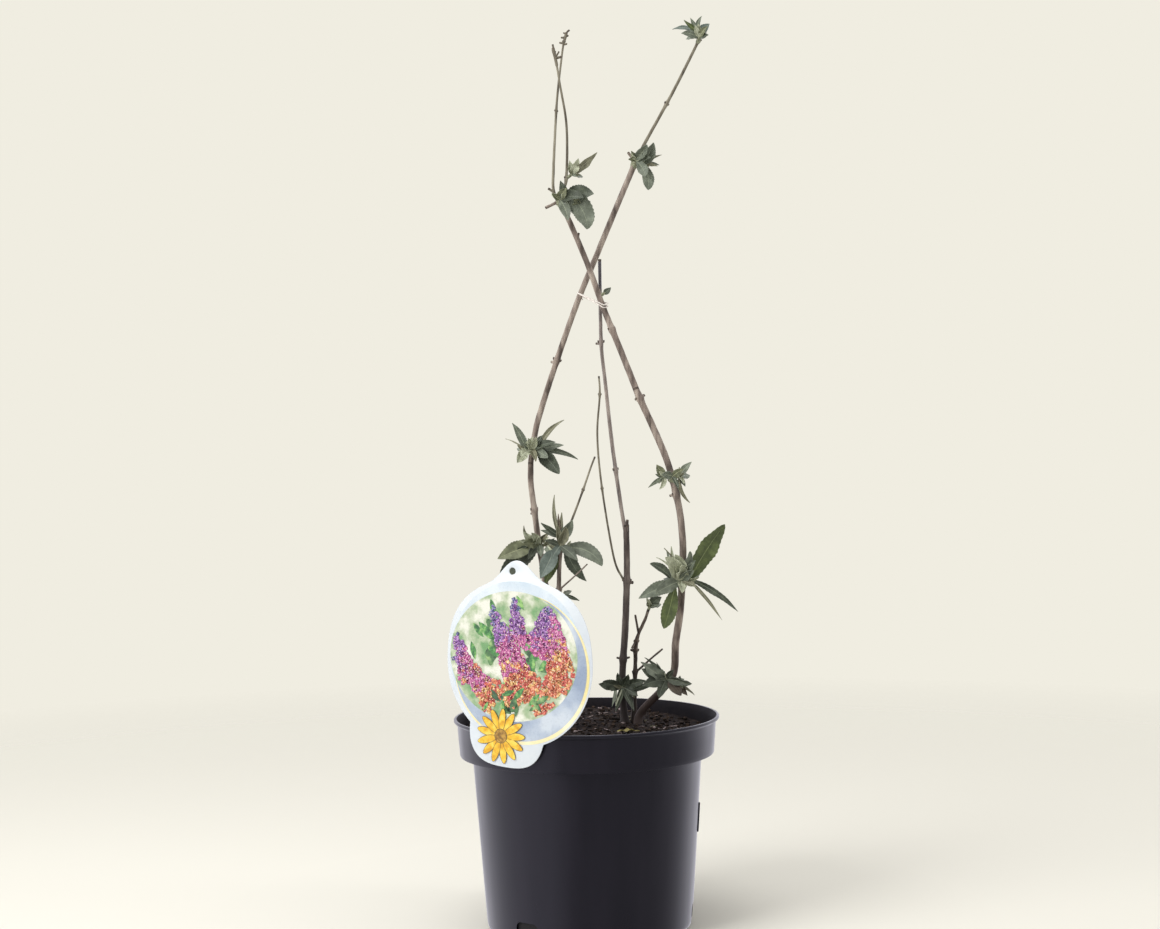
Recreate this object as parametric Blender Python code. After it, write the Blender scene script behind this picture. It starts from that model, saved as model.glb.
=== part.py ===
"""A young butterfly bush in its round nursery pot.

Three long bare stems rise from the pot, cross near their middle and are tied there. Two short stems
stand beside them. Small tufts of grey-green leaves sit at the nodes, and a round label card is
clipped over the rim.

Metres, +Z up. The front view looks along +Y, with +X to its right. The origin is the centre of the
pot's flat underside. Run it with Blender 4.5.
"""

import math
import random
from collections import namedtuple

import bmesh
import bpy
import numpy as np
from mathutils import Quaternion, Vector
from mathutils.bvhtree import BVHTree

MM = 0.001
GAP = 0.3 * MM

# Pot
POT_HEIGHT = 177 * MM
RIM_RADIUS = 113 * MM
BAND_HEIGHT = 31.5 * MM
BAND_TOP_RADIUS = 110 * MM
BAND_FOOT_RADIUS = 108.2 * MM
BODY_TOP_RADIUS = 97.5 * MM
BODY_FOOT_RADIUS = 87.5 * MM
UNDERSIDE_RADIUS = 84 * MM
LIP_HEIGHT = 3 * MM
LIP_WIDTH = 2.8 * MM
CORNER_HEIGHT = 6 * MM
WALL = 1.7 * MM
POT_SIDES = 48
NOTCH_COUNT = 3
FIRST_NOTCH_BEARING = -36
NOTCH_WIDTH = 22 * MM
NOTCH_HEIGHT = 19 * MM
NOTCH_CORNER = 5 * MM
LUG_BEARING = 84
LUG_FOOT = 78 * MM
LUG_HEIGHT = 25 * MM
LUG_WIDTH = 4 * MM
LUG_DEPTH = 1.2 * MM

# Potting soil
SOIL_LEVEL = 166.5 * MM

# Label card, a rounded disc with a tab for hanging on top and a lobe under it
CARD_BEARING = -28
CARD_CENTRE_HEIGHT = 233 * MM
CARD_RADIUS = 66.5 * MM
CARD_SHOULDER = 4.5 * MM
CARD_TAB_HEIGHT = 16 * MM
CARD_TAB_SPREAD = 13
CARD_LOBE_CENTRE = (-12 * MM, -50 * MM)
CARD_LOBE_RADIUS = 35 * MM
CARD_LOBE_SCALLOP = 0.035
CARD_LOBE_SCALLOPS = 9
CARD_THICKNESS = 0.6 * MM
CARD_POINTS = 96
CARD_HOLE = (-4 * MM, 74 * MM)
CARD_HOLE_RADIUS = 3 * MM
CLIP_WIDTH = 22 * MM
CLIP_DEPTH = 6.9 * MM
CLIP_DROP = 7.5 * MM

# Stems
STEM_FOOT = SOIL_LEVEL + GAP
FLARE_HEIGHT = 9 * MM
STRAIGHT_FOOT = 2.5 * MM
RING_SPACING = 15 * MM
FINE_SPACING = 1 * MM
SEATING_STEP = 0.05
SECOND_RING = 6
NODE_SWELL = 1.24
NODE_REACH = 3.2 * MM
THICK_LIMB = 2 * MM

# Tie round the three long stems
TIE_RADIUS = 0.6 * MM
TIE_HEIGHTS = {"left_stem_middle": 536.5, "middle_stem_upper": 527, "right_stem_upper": 525.5}
TIE_CLEARANCE = 0.55 * MM
TIE_POINTS = 32
TIE_PASSES = 4

# Leaves
LEAF_THICKNESS = 0.75 * MM
LEAF_FOLD = 0.16
LEAF_WIDEST = 0.78
PETIOLE_RADIUS = 0.55 * MM
SHORT_LEAF = 24 * MM
SHORT_LEAF_SECTIONS = 4
LONG_LEAF_SECTIONS = 6
LEAF_ROOM = 0.9 * MM
FRONT = Vector((0, -1, 0))

# points: places in millimetres that the limb's axis runs through, from foot to tip.
# radii: at the foot and at the tip, in millimetres. nodes: heights of its swollen leaf joints.
# flare: the foot's radius over the stem's, where it leaves the soil. after: the limb that it goes on from.
Limb = namedtuple("Limb", "points radii nodes flare after", defaults=((), 1.0, None))

LIMBS = {
    "left_stem_lower": Limb(
        [
            (-12, 20, 167), (-18, 22, 190), (-28, 25, 250), (-38, 28, 319), (-42, 27.5, 352),
            (-44.6, 26.8, 376), (-44.3, 26.2, 394),
        ],
        (2.9, 2.6), (228, 319, 352), 1.5,
    ),
    "left_stem_middle": Limb(
        [
            (-44.3, 26.2, 394), (-39.8, 24, 420), (-34.8, 22.5, 438), (-20, 17.5, 481), (-0.7, 10, 532),
            (18, 8, 575), (33, 12, 610), (52.5, 18, 654.5),
        ],
        (2.6, 2.5), (404, 481, 650), 1.0, "left_stem_lower",
    ),
    "left_stem_tip": Limb(
        [(52.5, 18, 654.5), (60, 18, 668.5), (84.6, 18, 711.5), (105.8, 18, 752), (108.6, 18, 758.5)],
        (1.5, 1.3), (701, 756), 1.0, "left_stem_middle",
    ),
    "right_stem_lower": Limb(
        [
            (43.5, 14, 167), (48, 13.5, 178), (65, 8, 196), (75.3, 2, 212), (77, -4, 237),
            (81, -9, 264), (83, -13.5, 290), (83.6, -15.5, 304),
        ],
        (3.4, 3.1), (205, 288), 1.35,
    ),
    "right_stem_middle": Limb(
        [
            (83.6, -15.5, 304), (84, -17, 320), (82.6, -19, 342), (79.6, -20, 361), (70.7, -19, 396),
            (50, -15, 446), (46.5, -14, 455),
        ],
        (3.0, 2.8), (364, 378, 446), 1.0, "right_stem_lower",
    ),
    "right_stem_upper": Limb(
        [
            (46.5, -14, 455), (35, -10.5, 486), (20.4, -6.3, 524.5), (9.1, -6, 558), (-7.2, -9, 598.5),
            (-16.2, -10, 616.4),
        ],
        (2.8, 2.35), (505, 613), 1.0, "right_stem_middle",
    ),
    "fork_left_twig": Limb(
        [
            (-16.8, -10.2, 614.5), (-20, -12, 625.5), (-19.5, -12, 641), (-18.3, -11, 662),
            (-15.5, -8, 701), (-11.6, -4, 733), (-8.9, -3, 751), (-6.5, -2, 759), (-3.8, -2, 761.5),
        ],
        (1.3, 0.8), (691, 751), 1.0, "right_stem_upper",
    ),
    "fork_right_twig": Limb(
        [
            (-15.8, -9.9, 615.5), (-11.5, -6.5, 626), (-9.1, -5, 632.5), (-7.7, -3.5, 658),
            (-8.2, -4, 684.5), (-12.7, -10.5, 713), (-15.4, -12, 731), (-18.3, -12, 747),
        ],
        (1.3, 0.85), (634, 740), 1.0, "right_stem_upper",
    ),
    "middle_stem_lower": Limb(
        [
            (33.3, 22, 167), (31.6, 22, 195), (32.5, 21, 219), (34.6, 19, 244), (36.7, 16, 283),
            (37.3, 15, 306), (37.2, 13.3, 343),
        ],
        (3.2, 2.7), (222, 290), 1.45,
    ),
    "middle_stem_upper": Limb(
        [
            (34.5, 13.4, 344.2), (32.3, 12, 360), (26.2, 9, 409), (21.1, 5, 463), (18.6, 3, 489),
            (18.2, 1.6, 516), (18.3, 1, 542), (18.3, 1, 566),
        ],
        (1.8, 1.5), (385, 495),
    ),
    "middle_stem_side_twig": Limb(
        [
            (36.9, 15.8, 288), (32.7, 13.4, 293.5), (25.7, 9, 312), (16.8, 0, 370.6), (13.6, -2.8, 415),
            (16.3, -3.4, 450), (15.8, -3.8, 466),
        ],
        (0.95, 0.85), (370, 450), 1.0, "middle_stem_lower",
    ),
    "short_left_stem": Limb(
        [
            (-14.5, 5, 167), (-18, 4.5, 184), (-22, 1, 220), (-22.3, -2, 255), (-21, -4, 300),
            (-19, -4, 326),
        ],
        (2.3, 1.9), (284, 320), 1.5,
    ),
    "short_left_stem_twig": Limb(
        [
            (-20.2, -4, 315), (-16.6, -1.5, 327), (-9.3, 3, 344), (0.6, 8, 369), (7.5, 10.5, 388),
            (11.4, 12, 397.5),
        ],
        (1.15, 0.8), (369,), 1.0, "short_left_stem",
    ),
    "short_right_stem": Limb(
        [
            (41, 31, 167), (42.5, 30.5, 190), (43.7, 30, 226), (44.6, 29, 236), (47.5, 28, 245),
            (52.4, 26.5, 255), (55.6, 25.5, 264),
        ],
        (1.9, 1.1), (209, 228, 236), 1.4,
    ),
}

# A stub is a dead twig or a bud fused on a limb. height: where it leaves the limb. angle: in the
# front view, from +X towards up. away: turned from the front plane, away from the viewer. Lengths,
# heights and radii are in millimetres.
Stub = namedtuple("Stub", "limb height angle away length radii")

STUBS = [
    Stub("left_stem_middle", 651, 124, 0, 11, (1.3, 1.0)),
    Stub("left_stem_middle", 479, 165, 30, 5, (1.5, 0.9)),
    Stub("left_stem_lower", 350, 200, 40, 5, (1.4, 0.7)),
    Stub("right_stem_upper", 582, 75, 0, 6, (1.2, 0.7)),
    Stub("right_stem_upper", 615, 206, -5, 13, (1.4, 1.1)),
    Stub("right_stem_middle", 446, 40, 35, 6, (1.7, 1.0)),
    Stub("right_stem_middle", 447, 200, 40, 5, (1.6, 0.9)),
    Stub("right_stem_middle", 364, 190, 30, 6, (1.5, 0.9)),
    Stub("fork_left_twig", 622, 150, -15, 6, (1.2, 0.9)),
    Stub("fork_left_twig", 751, 160, 10, 3.4, (0.8, 0.4)),
    Stub("fork_left_twig", 751.5, 20, -10, 3.4, (0.8, 0.4)),
    Stub("fork_left_twig", 757, 170, 0, 3.2, (0.7, 0.4)),
    Stub("fork_right_twig", 736, 65, 0, 7, (0.8, 0.5)),
    Stub("middle_stem_lower", 289, 0, -20, 6, (1.5, 1.2)),
    Stub("middle_stem_lower", 222, 165, 0, 6, (1.2, 0.7)),
    Stub("middle_stem_lower", 222, 15, 0, 6, (1.2, 0.7)),
    Stub("middle_stem_upper", 494, 172, 0, 5, (1.2, 0.8)),
    Stub("short_left_stem", 284, 42, -12, 34, (0.8, 0.5)),
    Stub("short_right_stem", 209, 42, -15, 33, (1.0, 0.7)),
    Stub("short_right_stem", 228, 165, -20, 5, (1.4, 0.8)),
    Stub("short_right_stem", 237, 236, -25, 9, (1.3, 0.7)),
    Stub("short_right_stem", 243, 100, -10, 17, (1.1, 0.8)),
]

# A shoot is a short leafy side stem. limb and height: where it sits, or None for the limb's tip.
# hidden: how many more leaves grow on its far side, placed by a seeded rule.
Shoot = namedtuple("Shoot", "limb height angle away length leaves hidden")

# at: share of the shoot's length. start and end: the midrib's angle in the front view at its root and
# its tip. away: out of the front plane. roll: turn of the blade about its midrib, 0 facing the front.
Leaf = namedtuple("Leaf", "at start end away length width roll")

SHOOTS = {
    "leaves_left_low_a": Shoot("left_stem_lower", 320, 165, -35, 2.5, [
        Leaf(1.0, 196, 206, -12, 33, 16, 20),
        Leaf(1.0, 155, 165, -28, 13, 6, 0),
        Leaf(0.8, 140, 70, -10, 20, 4, 20),
        Leaf(0.5, 250, 220, -10, 17, 7, 0),
        Leaf(0.8, 120, 130, -20, 15, 7, 30),
    ], 1),
    "leaves_left_low_b": Shoot("left_stem_lower", 320, 15, -30, 2, [
        Leaf(1.0, 8, -20, 0, 12, 5, 0),
        Leaf(0.8, 25, 50, 5, 10, 4, 0),
    ], 1),
    "leaves_left_middle_a": Shoot("left_stem_middle", 403, 165, -35, 2, [
        Leaf(0.9, 108, 128, -8, 27, 7, 15),
        Leaf(1.0, 151, 143, -5, 9, 4, 0),
        Leaf(0.8, 228, 240, -15, 14, 9, 0),
        Leaf(0.7, 70, 48, -30, 15, 6, 0),
        Leaf(0.6, 141, 166, 10, 22, 1.2, 0),
    ], 1),
    "leaves_left_middle_b": Shoot("left_stem_middle", 403, 15, -35, 2, [
        Leaf(0.9, 67, 23, 0, 35, 5, 0),
        Leaf(1.0, 15, 1, -15, 23, 7, -20),
        Leaf(0.9, -1, -33, 8, 36, 5, -10),
        Leaf(0.6, -41, -59, -22, 30, 14, 10),
        Leaf(0.6, 63, 83, -35, 14, 6, 0),
    ], 1),
    "leaves_left_upper": Shoot("left_stem_middle", 649, 5, -25, 3, [
        Leaf(0.9, 50, 76, -15, 20, 12, 0),
        Leaf(0.8, -60, -106, -8, 25, 10, 0),
        Leaf(1.0, 32, 7, 0, 18, 2.5, 0),
        Leaf(1.0, -7, -29, -10, 13, 3.5, 0),
        Leaf(1.0, 3, -17, 15, 15, 3.5, 0),
    ], 2),
    "leaves_left_top": Shoot("left_stem_tip", None, 112, 0, 3, [
        Leaf(0.9, 148, 203, 0, 24, 5, 20),
        Leaf(1.0, 146, 136, -15, 17, 4, 0),
        Leaf(1.0, 118, 118, 5, 15, 4, 0),
        Leaf(1.0, 105, 35, -10, 15, 4, 0),
        Leaf(0.8, 44, 34, -5, 12, 7.5, 0),
        Leaf(1.0, 12, -20, -5, 7, 4, 0),
        Leaf(1.0, 100, 90, -60, 10, 4, 0),
    ], 2),
    "leaves_short_left_top": Shoot("short_left_stem", None, 92, 0, 3.5, [
        Leaf(0.4, 111, 79, 5, 38, 3.4, 0),
        Leaf(0.8, 97, 93, -10, 20, 3, 0),
        Leaf(1.0, 86, 88, 8, 20, 3.2, 0),
        Leaf(0.6, 46, 72, -18, 19, 9.5, 15),
        Leaf(0.7, 148, 136, -8, 21, 5.5, 15),
        Leaf(0.6, 153, 171, 12, 19, 5, 10),
    ], 1),
    "leaves_short_left_right": Shoot("short_left_stem", 319, 10, -25, 2, [
        Leaf(0.9, 4, -62, -10, 36, 13, -15),
        Leaf(0.6, -72, -40, 6, 34, 10, 0),
    ], 1),
    "leaves_short_left_left": Shoot("short_left_stem", 319, 180, -25, 2, [
        Leaf(0.9, 244, 240, -16, 28, 14, 10),
        Leaf(0.9, 259, 245, 4, 31, 11, 0),
    ], 1),
    "leaves_short_left_foot": Shoot("short_left_stem", 281, -10, -20, 1.5, [
        Leaf(0.9, -17, -31, 5, 14, 3.5, 0),
    ], 1),
    "leaves_right_side_right": Shoot("right_stem_lower", 287, 40, -35, 3, [
        Leaf(1.0, 77, 39, -5, 57, 14, 12),
        Leaf(0.9, -24, -50, 5, 50, 6, 0),
        Leaf(0.6, -46, -60, 0, 44, 3, 0),
    ], 2),
    "leaves_right_side_left": Shoot("right_stem_lower", 287, 160, -30, 2.5, [
        Leaf(0.9, 123, 157, 5, 26, 8, 15),
        Leaf(0.7, 195, 209, -10, 34, 12.5, 25),
        Leaf(1.0, 92, 98, -12, 32, 5.5, 0),
        Leaf(0.9, 99, 107, 8, 28, 4, 0),
        Leaf(0.5, 256, 250, -14, 40, 14, 0),
    ], 2),
    "leaves_right_side_front": Shoot("right_stem_lower", 290, 80, -70, 2.5, [
        Leaf(1.0, 70, 86, -20, 26, 8, 0),
        Leaf(0.8, 98, 112, -25, 23, 8, 0),
        Leaf(0.8, 63, 53, -30, 22, 6, 0),
    ], 0),
    "leaves_right_middle_a": Shoot("right_stem_middle", 378, 165, -20, 2, [
        Leaf(0.9, 126, 116, -12, 12, 7, 10),
        Leaf(0.7, 208, 222, -8, 17, 3.6, 0),
        Leaf(0.8, 175, 150, 5, 8, 3, 0),
        Leaf(0.6, 265, 215, 0, 12, 4, 0),
    ], 1),
    "leaves_right_middle_b": Shoot("right_stem_middle", 378, 15, -20, 2, [
        Leaf(0.9, 59, 33, -5, 16, 6, -10),
        Leaf(0.8, -55, -70, -10, 10, 4, 0),
        Leaf(0.8, -94, -34, 5, 25, 3.4, 0),
    ], 1),
    "leaves_fork": Shoot("right_stem_upper", 611, 46, -30, 6, [
        Leaf(1.0, -38, -100, -12, 34, 17, 0),
        Leaf(0.6, 26, -22, -20, 25, 15, 10),
        Leaf(0.6, 112, 105, -8, 16, 7, 0),
        Leaf(0.4, -9, -29, -25, 14, 9, 0),
    ], 1),
    "leaves_fork_upper": Shoot("fork_right_twig", 634, 35, -5, 2, [
        Leaf(1.0, 36, 44, -5, 28, 7, 15),
        Leaf(0.7, 61, 71, -20, 15, 7, 0),
        Leaf(0.7, 95, 101, -12, 12, 5, 0),
    ], 1),
    "leaves_middle_foot_a": Shoot("middle_stem_lower", 197, 165, -20, 2, [
        Leaf(1.0, 176, 158, -10, 15, 7.5, 20),
        Leaf(0.7, 262, 245, -35, 20, 3, 30),
    ], 1),
    "leaves_middle_foot_b": Shoot("middle_stem_lower", 194, 5, -30, 2, [
        Leaf(1.0, 20, 12, -18, 26, 5.5, -15),
        Leaf(0.8, -70, -84, -45, 22, 3, 0),
    ], 0),
    "leaves_right_foot_a": Shoot("right_stem_lower", 206, 160, -30, 2.5, [
        Leaf(1.0, 164, 148, -12, 21, 10, 15),
        Leaf(0.8, 120, 112, 10, 14, 2.5, 0),
        Leaf(0.7, 248, 256, -18, 14, 6, 0),
    ], 1),
    "leaves_right_foot_b": Shoot("right_stem_lower", 204, -15, -25, 2.5, [
        Leaf(0.9, 7, -7, -8, 12, 5.5, -10),
        Leaf(0.7, -48, -54, -14, 13, 5.5, 0),
        Leaf(1.0, -26, -52, 12, 18, 2.2, 0),
        Leaf(0.6, 65, 85, -30, 9, 4, 0),
    ], 1),
    "leaves_short_right_top": Shoot("short_right_stem", None, 65, 0, 2.5, [
        Leaf(0.6, 50, 22, -15, 14, 9, 0),
        Leaf(0.9, 74, 80, 5, 21, 2.6, 0),
        Leaf(0.8, 104, 124, -20, 9, 3, 0),
    ], 1),
    "leaf_at_tie": Shoot("right_stem_upper", 533, 35, -10, 1.5, [
        Leaf(0.8, 40, 58, -5, 9, 5, 0),
    ], 0),
}

SHOOT_RADII = (1.35, 0.9)
TIP_BEND = 0.8 * MM
HIDDEN_SEED = 11

# name: (colour, roughness)
FINISHES = {
    "satin_black_plastic": ((0.022, 0.021, 0.026), 0.36),
    "peaty_soil": ((0.035, 0.024, 0.018), 0.95),
    "printed_card": ((0.80, 0.81, 0.80), 0.40),
    "white_string": ((0.80, 0.79, 0.74), 0.60),
    "brown_bark": ((0.205, 0.150, 0.118), 0.75),
    "dark_bark": ((0.105, 0.078, 0.064), 0.80),
    "felted_leaf": ((0.105, 0.135, 0.092), 0.70),
}


def clear_scene():
    """Removes whatever the scene holds."""
    for found in list(bpy.data.objects):
        bpy.data.objects.remove(found, do_unlink=True)


def material(owner, finish):
    """One material for one object, in that object's finish."""
    colour, roughness = FINISHES[finish]
    made = bpy.data.materials.new(owner + "_" + finish)
    made.use_nodes = True
    shader = made.node_tree.nodes["Principled BSDF"]
    shader.inputs["Base Color"].default_value = (*colour, 1)
    shader.inputs["Roughness"].default_value = roughness
    shader.inputs["Metallic"].default_value = 0
    return made


def new_object(name, mesh, finish=None):
    """Puts a mesh in the scene, with its finish."""
    made = bpy.data.objects.new(name, mesh)
    bpy.context.scene.collection.objects.link(made)
    if finish:
        mesh.materials.clear()
        mesh.materials.append(material(name, finish))
    return made


def object_from_bmesh(name, shape, finish=None, smooth=False):
    """Turns a bmesh into an object, its faces pointing out."""
    bmesh.ops.remove_doubles(shape, verts=shape.verts, dist=1e-6)
    bmesh.ops.recalc_face_normals(shape, faces=shape.faces)
    mesh = bpy.data.meshes.new(name)
    shape.to_mesh(mesh)
    shape.free()
    if smooth:
        mesh.shade_smooth()
        mesh.set_sharp_from_angle(angle=math.radians(35))
    return new_object(name, mesh, finish)


def bearing_direction(bearing):
    """Level direction at a bearing from the front, positive to the right."""
    turn = math.radians(bearing)
    return Vector((math.sin(turn), -math.cos(turn), 0))


def front_direction(angle, away):
    """Direction at an angle in the front view, turned away from the viewer."""
    lift, depth = math.radians(angle), math.radians(away)
    return Vector((math.cos(depth) * math.cos(lift), math.sin(depth), math.cos(depth) * math.sin(lift)))


def joined(base, extras, operation="UNION"):
    """Joins extras to base, or cuts them from it, in one Boolean, and removes them."""
    tools = bpy.data.collections.new(base.name + "_tools")
    bpy.context.scene.collection.children.link(tools)
    for extra in extras:
        for holder in list(extra.users_collection):
            holder.objects.unlink(extra)
        tools.objects.link(extra)
    step = base.modifiers.new("join", "BOOLEAN")
    step.operation = operation
    step.operand_type = "COLLECTION"
    step.collection = tools
    step.solver = "EXACT"
    graph = bpy.context.evaluated_depsgraph_get()
    result = bpy.data.meshes.new_from_object(base.evaluated_get(graph))
    base.modifiers.clear()
    base.data = result
    for extra in list(tools.objects):
        bpy.data.objects.remove(extra, do_unlink=True)
    bpy.data.collections.remove(tools)
    return base


def keep_outer_skin(made):
    """Fills the hollows that fusing has sealed and drops loose scraps: only the largest shell stays."""
    shape = bmesh.new()
    shape.from_mesh(made.data)
    bmesh.ops.remove_doubles(shape, verts=shape.verts, dist=1e-6)
    unseen = set(shape.faces)
    shells = []
    while unseen:
        shell, front = set(), {unseen.pop()}
        while front:
            shell |= front
            near = {face for one in front for edge in one.edges for face in edge.link_faces}
            front = near - shell
        unseen -= shell
        shells.append(shell)
    largest = max(shells, key=lambda shell: sum(face.calc_area() for face in shell))
    spare = [face for shell in shells if shell is not largest for face in shell]
    bmesh.ops.delete(shape, geom=spare, context="FACES")
    shape.to_mesh(made.data)
    shape.free()
    return made


def turned(name, profile, sides, finish=None):
    """Solid turned about Z from a profile of (radius, height) points that starts and ends on the axis."""
    shape = bmesh.new()
    corners = [shape.verts.new((radius, 0, height)) for radius, height in profile]
    edges = [shape.edges.new(pair) for pair in zip(corners, corners[1:])]
    bmesh.ops.spin(
        shape, geom=corners + edges, cent=(0, 0, 0), axis=(0, 0, 1),
        angle=2 * math.pi, steps=sides, use_merge=True,
    )
    return object_from_bmesh(name, shape, finish, smooth=True)


def tube(name, places, radii, sides, finish=None, cyclic=False):
    """Mesh tube through the places, from a bevelled curve with filled ends."""
    curve = bpy.data.curves.new(name, "CURVE")
    curve.dimensions = "3D"
    curve.bevel_depth = MM
    curve.bevel_resolution = sides // 2 - 2
    curve.use_fill_caps = not cyclic
    line = curve.splines.new("POLY")
    line.points.add(len(places) - 1)
    line.use_cyclic_u = cyclic
    for point, place, radius in zip(line.points, places, radii):
        point.co = (*place, 1)
        point.radius = radius / MM
    guide = bpy.data.objects.new(name + "_curve", curve)
    bpy.context.scene.collection.objects.link(guide)
    graph = bpy.context.evaluated_depsgraph_get()
    shape = bmesh.new()
    shape.from_mesh(bpy.data.meshes.new_from_object(guide.evaluated_get(graph)))
    bpy.data.objects.remove(guide, do_unlink=True)
    return object_from_bmesh(name, shape, finish, smooth=True)


def box(name, size, place, bearing, lean=0):
    """Box of a size (across, radial, up), centred on a place, facing a bearing, leaning outwards."""
    shape = bmesh.new()
    bmesh.ops.create_cube(shape, size=1)
    bmesh.ops.scale(shape, vec=size, verts=shape.verts)
    made = object_from_bmesh(name, shape)
    made.location = place
    made.rotation_euler = (lean, 0, math.radians(bearing))
    return made


def body_radius(height):
    """Outer radius of the pot's body at a height."""
    share = (height - CORNER_HEIGHT) / (POT_HEIGHT - BAND_HEIGHT - CORNER_HEIGHT)
    return BODY_FOOT_RADIUS + share * (BODY_TOP_RADIUS - BODY_FOOT_RADIUS)


def pot_outside():
    """Outer profile of the pot, from the middle of its underside up to the lip."""
    band_foot = POT_HEIGHT - BAND_HEIGHT
    return [
        (0, 0),
        (UNDERSIDE_RADIUS, 0),
        (UNDERSIDE_RADIUS + 2.4 * MM, CORNER_HEIGHT / 4),
        (BODY_FOOT_RADIUS, CORNER_HEIGHT),
        (BODY_TOP_RADIUS, band_foot - 1 * MM),
        (BAND_FOOT_RADIUS - 1.2 * MM, band_foot),
        (BAND_FOOT_RADIUS, band_foot + 1.2 * MM),
        (BAND_TOP_RADIUS, POT_HEIGHT - 1.8 * LIP_HEIGHT),
        (RIM_RADIUS, POT_HEIGHT - LIP_HEIGHT / 2),
        (RIM_RADIUS - 0.4 * MM, POT_HEIGHT),
    ]


def pot_inside():
    """Inner profile of the pot, from the lip down to the middle of its floor."""
    band_foot = POT_HEIGHT - BAND_HEIGHT
    return [
        (RIM_RADIUS - LIP_WIDTH, POT_HEIGHT),
        (BAND_TOP_RADIUS - WALL, POT_HEIGHT - 2 * LIP_HEIGHT),
        (BAND_FOOT_RADIUS - WALL, band_foot + WALL + 1 * MM),
        (BODY_TOP_RADIUS - WALL, band_foot + WALL - 1 * MM),
        (BODY_FOOT_RADIUS - WALL, CORNER_HEIGHT),
        (UNDERSIDE_RADIUS - WALL, WALL),
        (0, WALL),
    ]


def build_pot():
    """Hollow pot with a wide band under its lip, drain notches round its foot and a small lug."""
    pot = turned("pot", pot_outside() + pot_inside(), POT_SIDES, "satin_black_plastic")
    notches = []
    for number in range(NOTCH_COUNT):
        bearing = FIRST_NOTCH_BEARING + number * 360 / NOTCH_COUNT
        reach = bearing_direction(bearing) * BODY_FOOT_RADIUS
        notch = box(
            f"notch_{number}", (NOTCH_WIDTH, 14 * MM, 2 * NOTCH_HEIGHT), reach, bearing,
        )
        rounding = notch.modifiers.new("corner", "BEVEL")
        rounding.width = NOTCH_CORNER
        rounding.segments = 3
        notches.append(notch)
    joined(pot, notches, "DIFFERENCE")
    middle = LUG_FOOT + LUG_HEIGHT / 2
    seat = bearing_direction(LUG_BEARING) * body_radius(middle)
    seat.z = middle
    slope = math.atan2(body_radius(middle) - body_radius(LUG_FOOT), LUG_HEIGHT / 2)
    lug = box("lug", (LUG_WIDTH, 2 * LUG_DEPTH, LUG_HEIGHT), seat, LUG_BEARING, slope)
    return joined(pot, [lug])


def build_soil():
    """Potting soil that fills the pot to just under its lip."""
    band_foot = POT_HEIGHT - BAND_HEIGHT
    profile = [
        (0, WALL + GAP),
        (UNDERSIDE_RADIUS - WALL - 2 * GAP, WALL + GAP),
        (BODY_FOOT_RADIUS - WALL - 2 * GAP, CORNER_HEIGHT + GAP),
        (BODY_TOP_RADIUS - WALL - 3 * GAP, band_foot + WALL - 1 * MM),
        (BAND_FOOT_RADIUS - WALL - 3 * GAP, band_foot + WALL + 1 * MM + 2 * GAP),
        (BAND_FOOT_RADIUS - WALL - 2 * GAP, SOIL_LEVEL),
        (0, SOIL_LEVEL),
    ]
    return turned("potting_soil", profile, POT_SIDES, "peaty_soil")


def card_reach(turn):
    """Distance from the card's centre to its edge, at an angle in radians from its right side."""
    top = math.degrees(turn) - 90
    disc = CARD_RADIUS + CARD_TAB_HEIGHT * math.exp(-((top / CARD_TAB_SPREAD) ** 2))
    if math.sin(turn) > 0:
        disc += CARD_SHOULDER * math.sin(2 * turn) ** 2
    across, up = CARD_LOBE_CENTRE
    along = across * math.cos(turn) + up * math.sin(turn)
    aside = across * math.sin(turn) - up * math.cos(turn)
    scallop = 1 + CARD_LOBE_SCALLOP * math.cos(CARD_LOBE_SCALLOPS * turn)
    half_chord = (CARD_LOBE_RADIUS * scallop) ** 2 - aside**2
    lobe = along + math.sqrt(half_chord) if half_chord > 0 and along > 0 else 0
    return max(disc, lobe)


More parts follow.
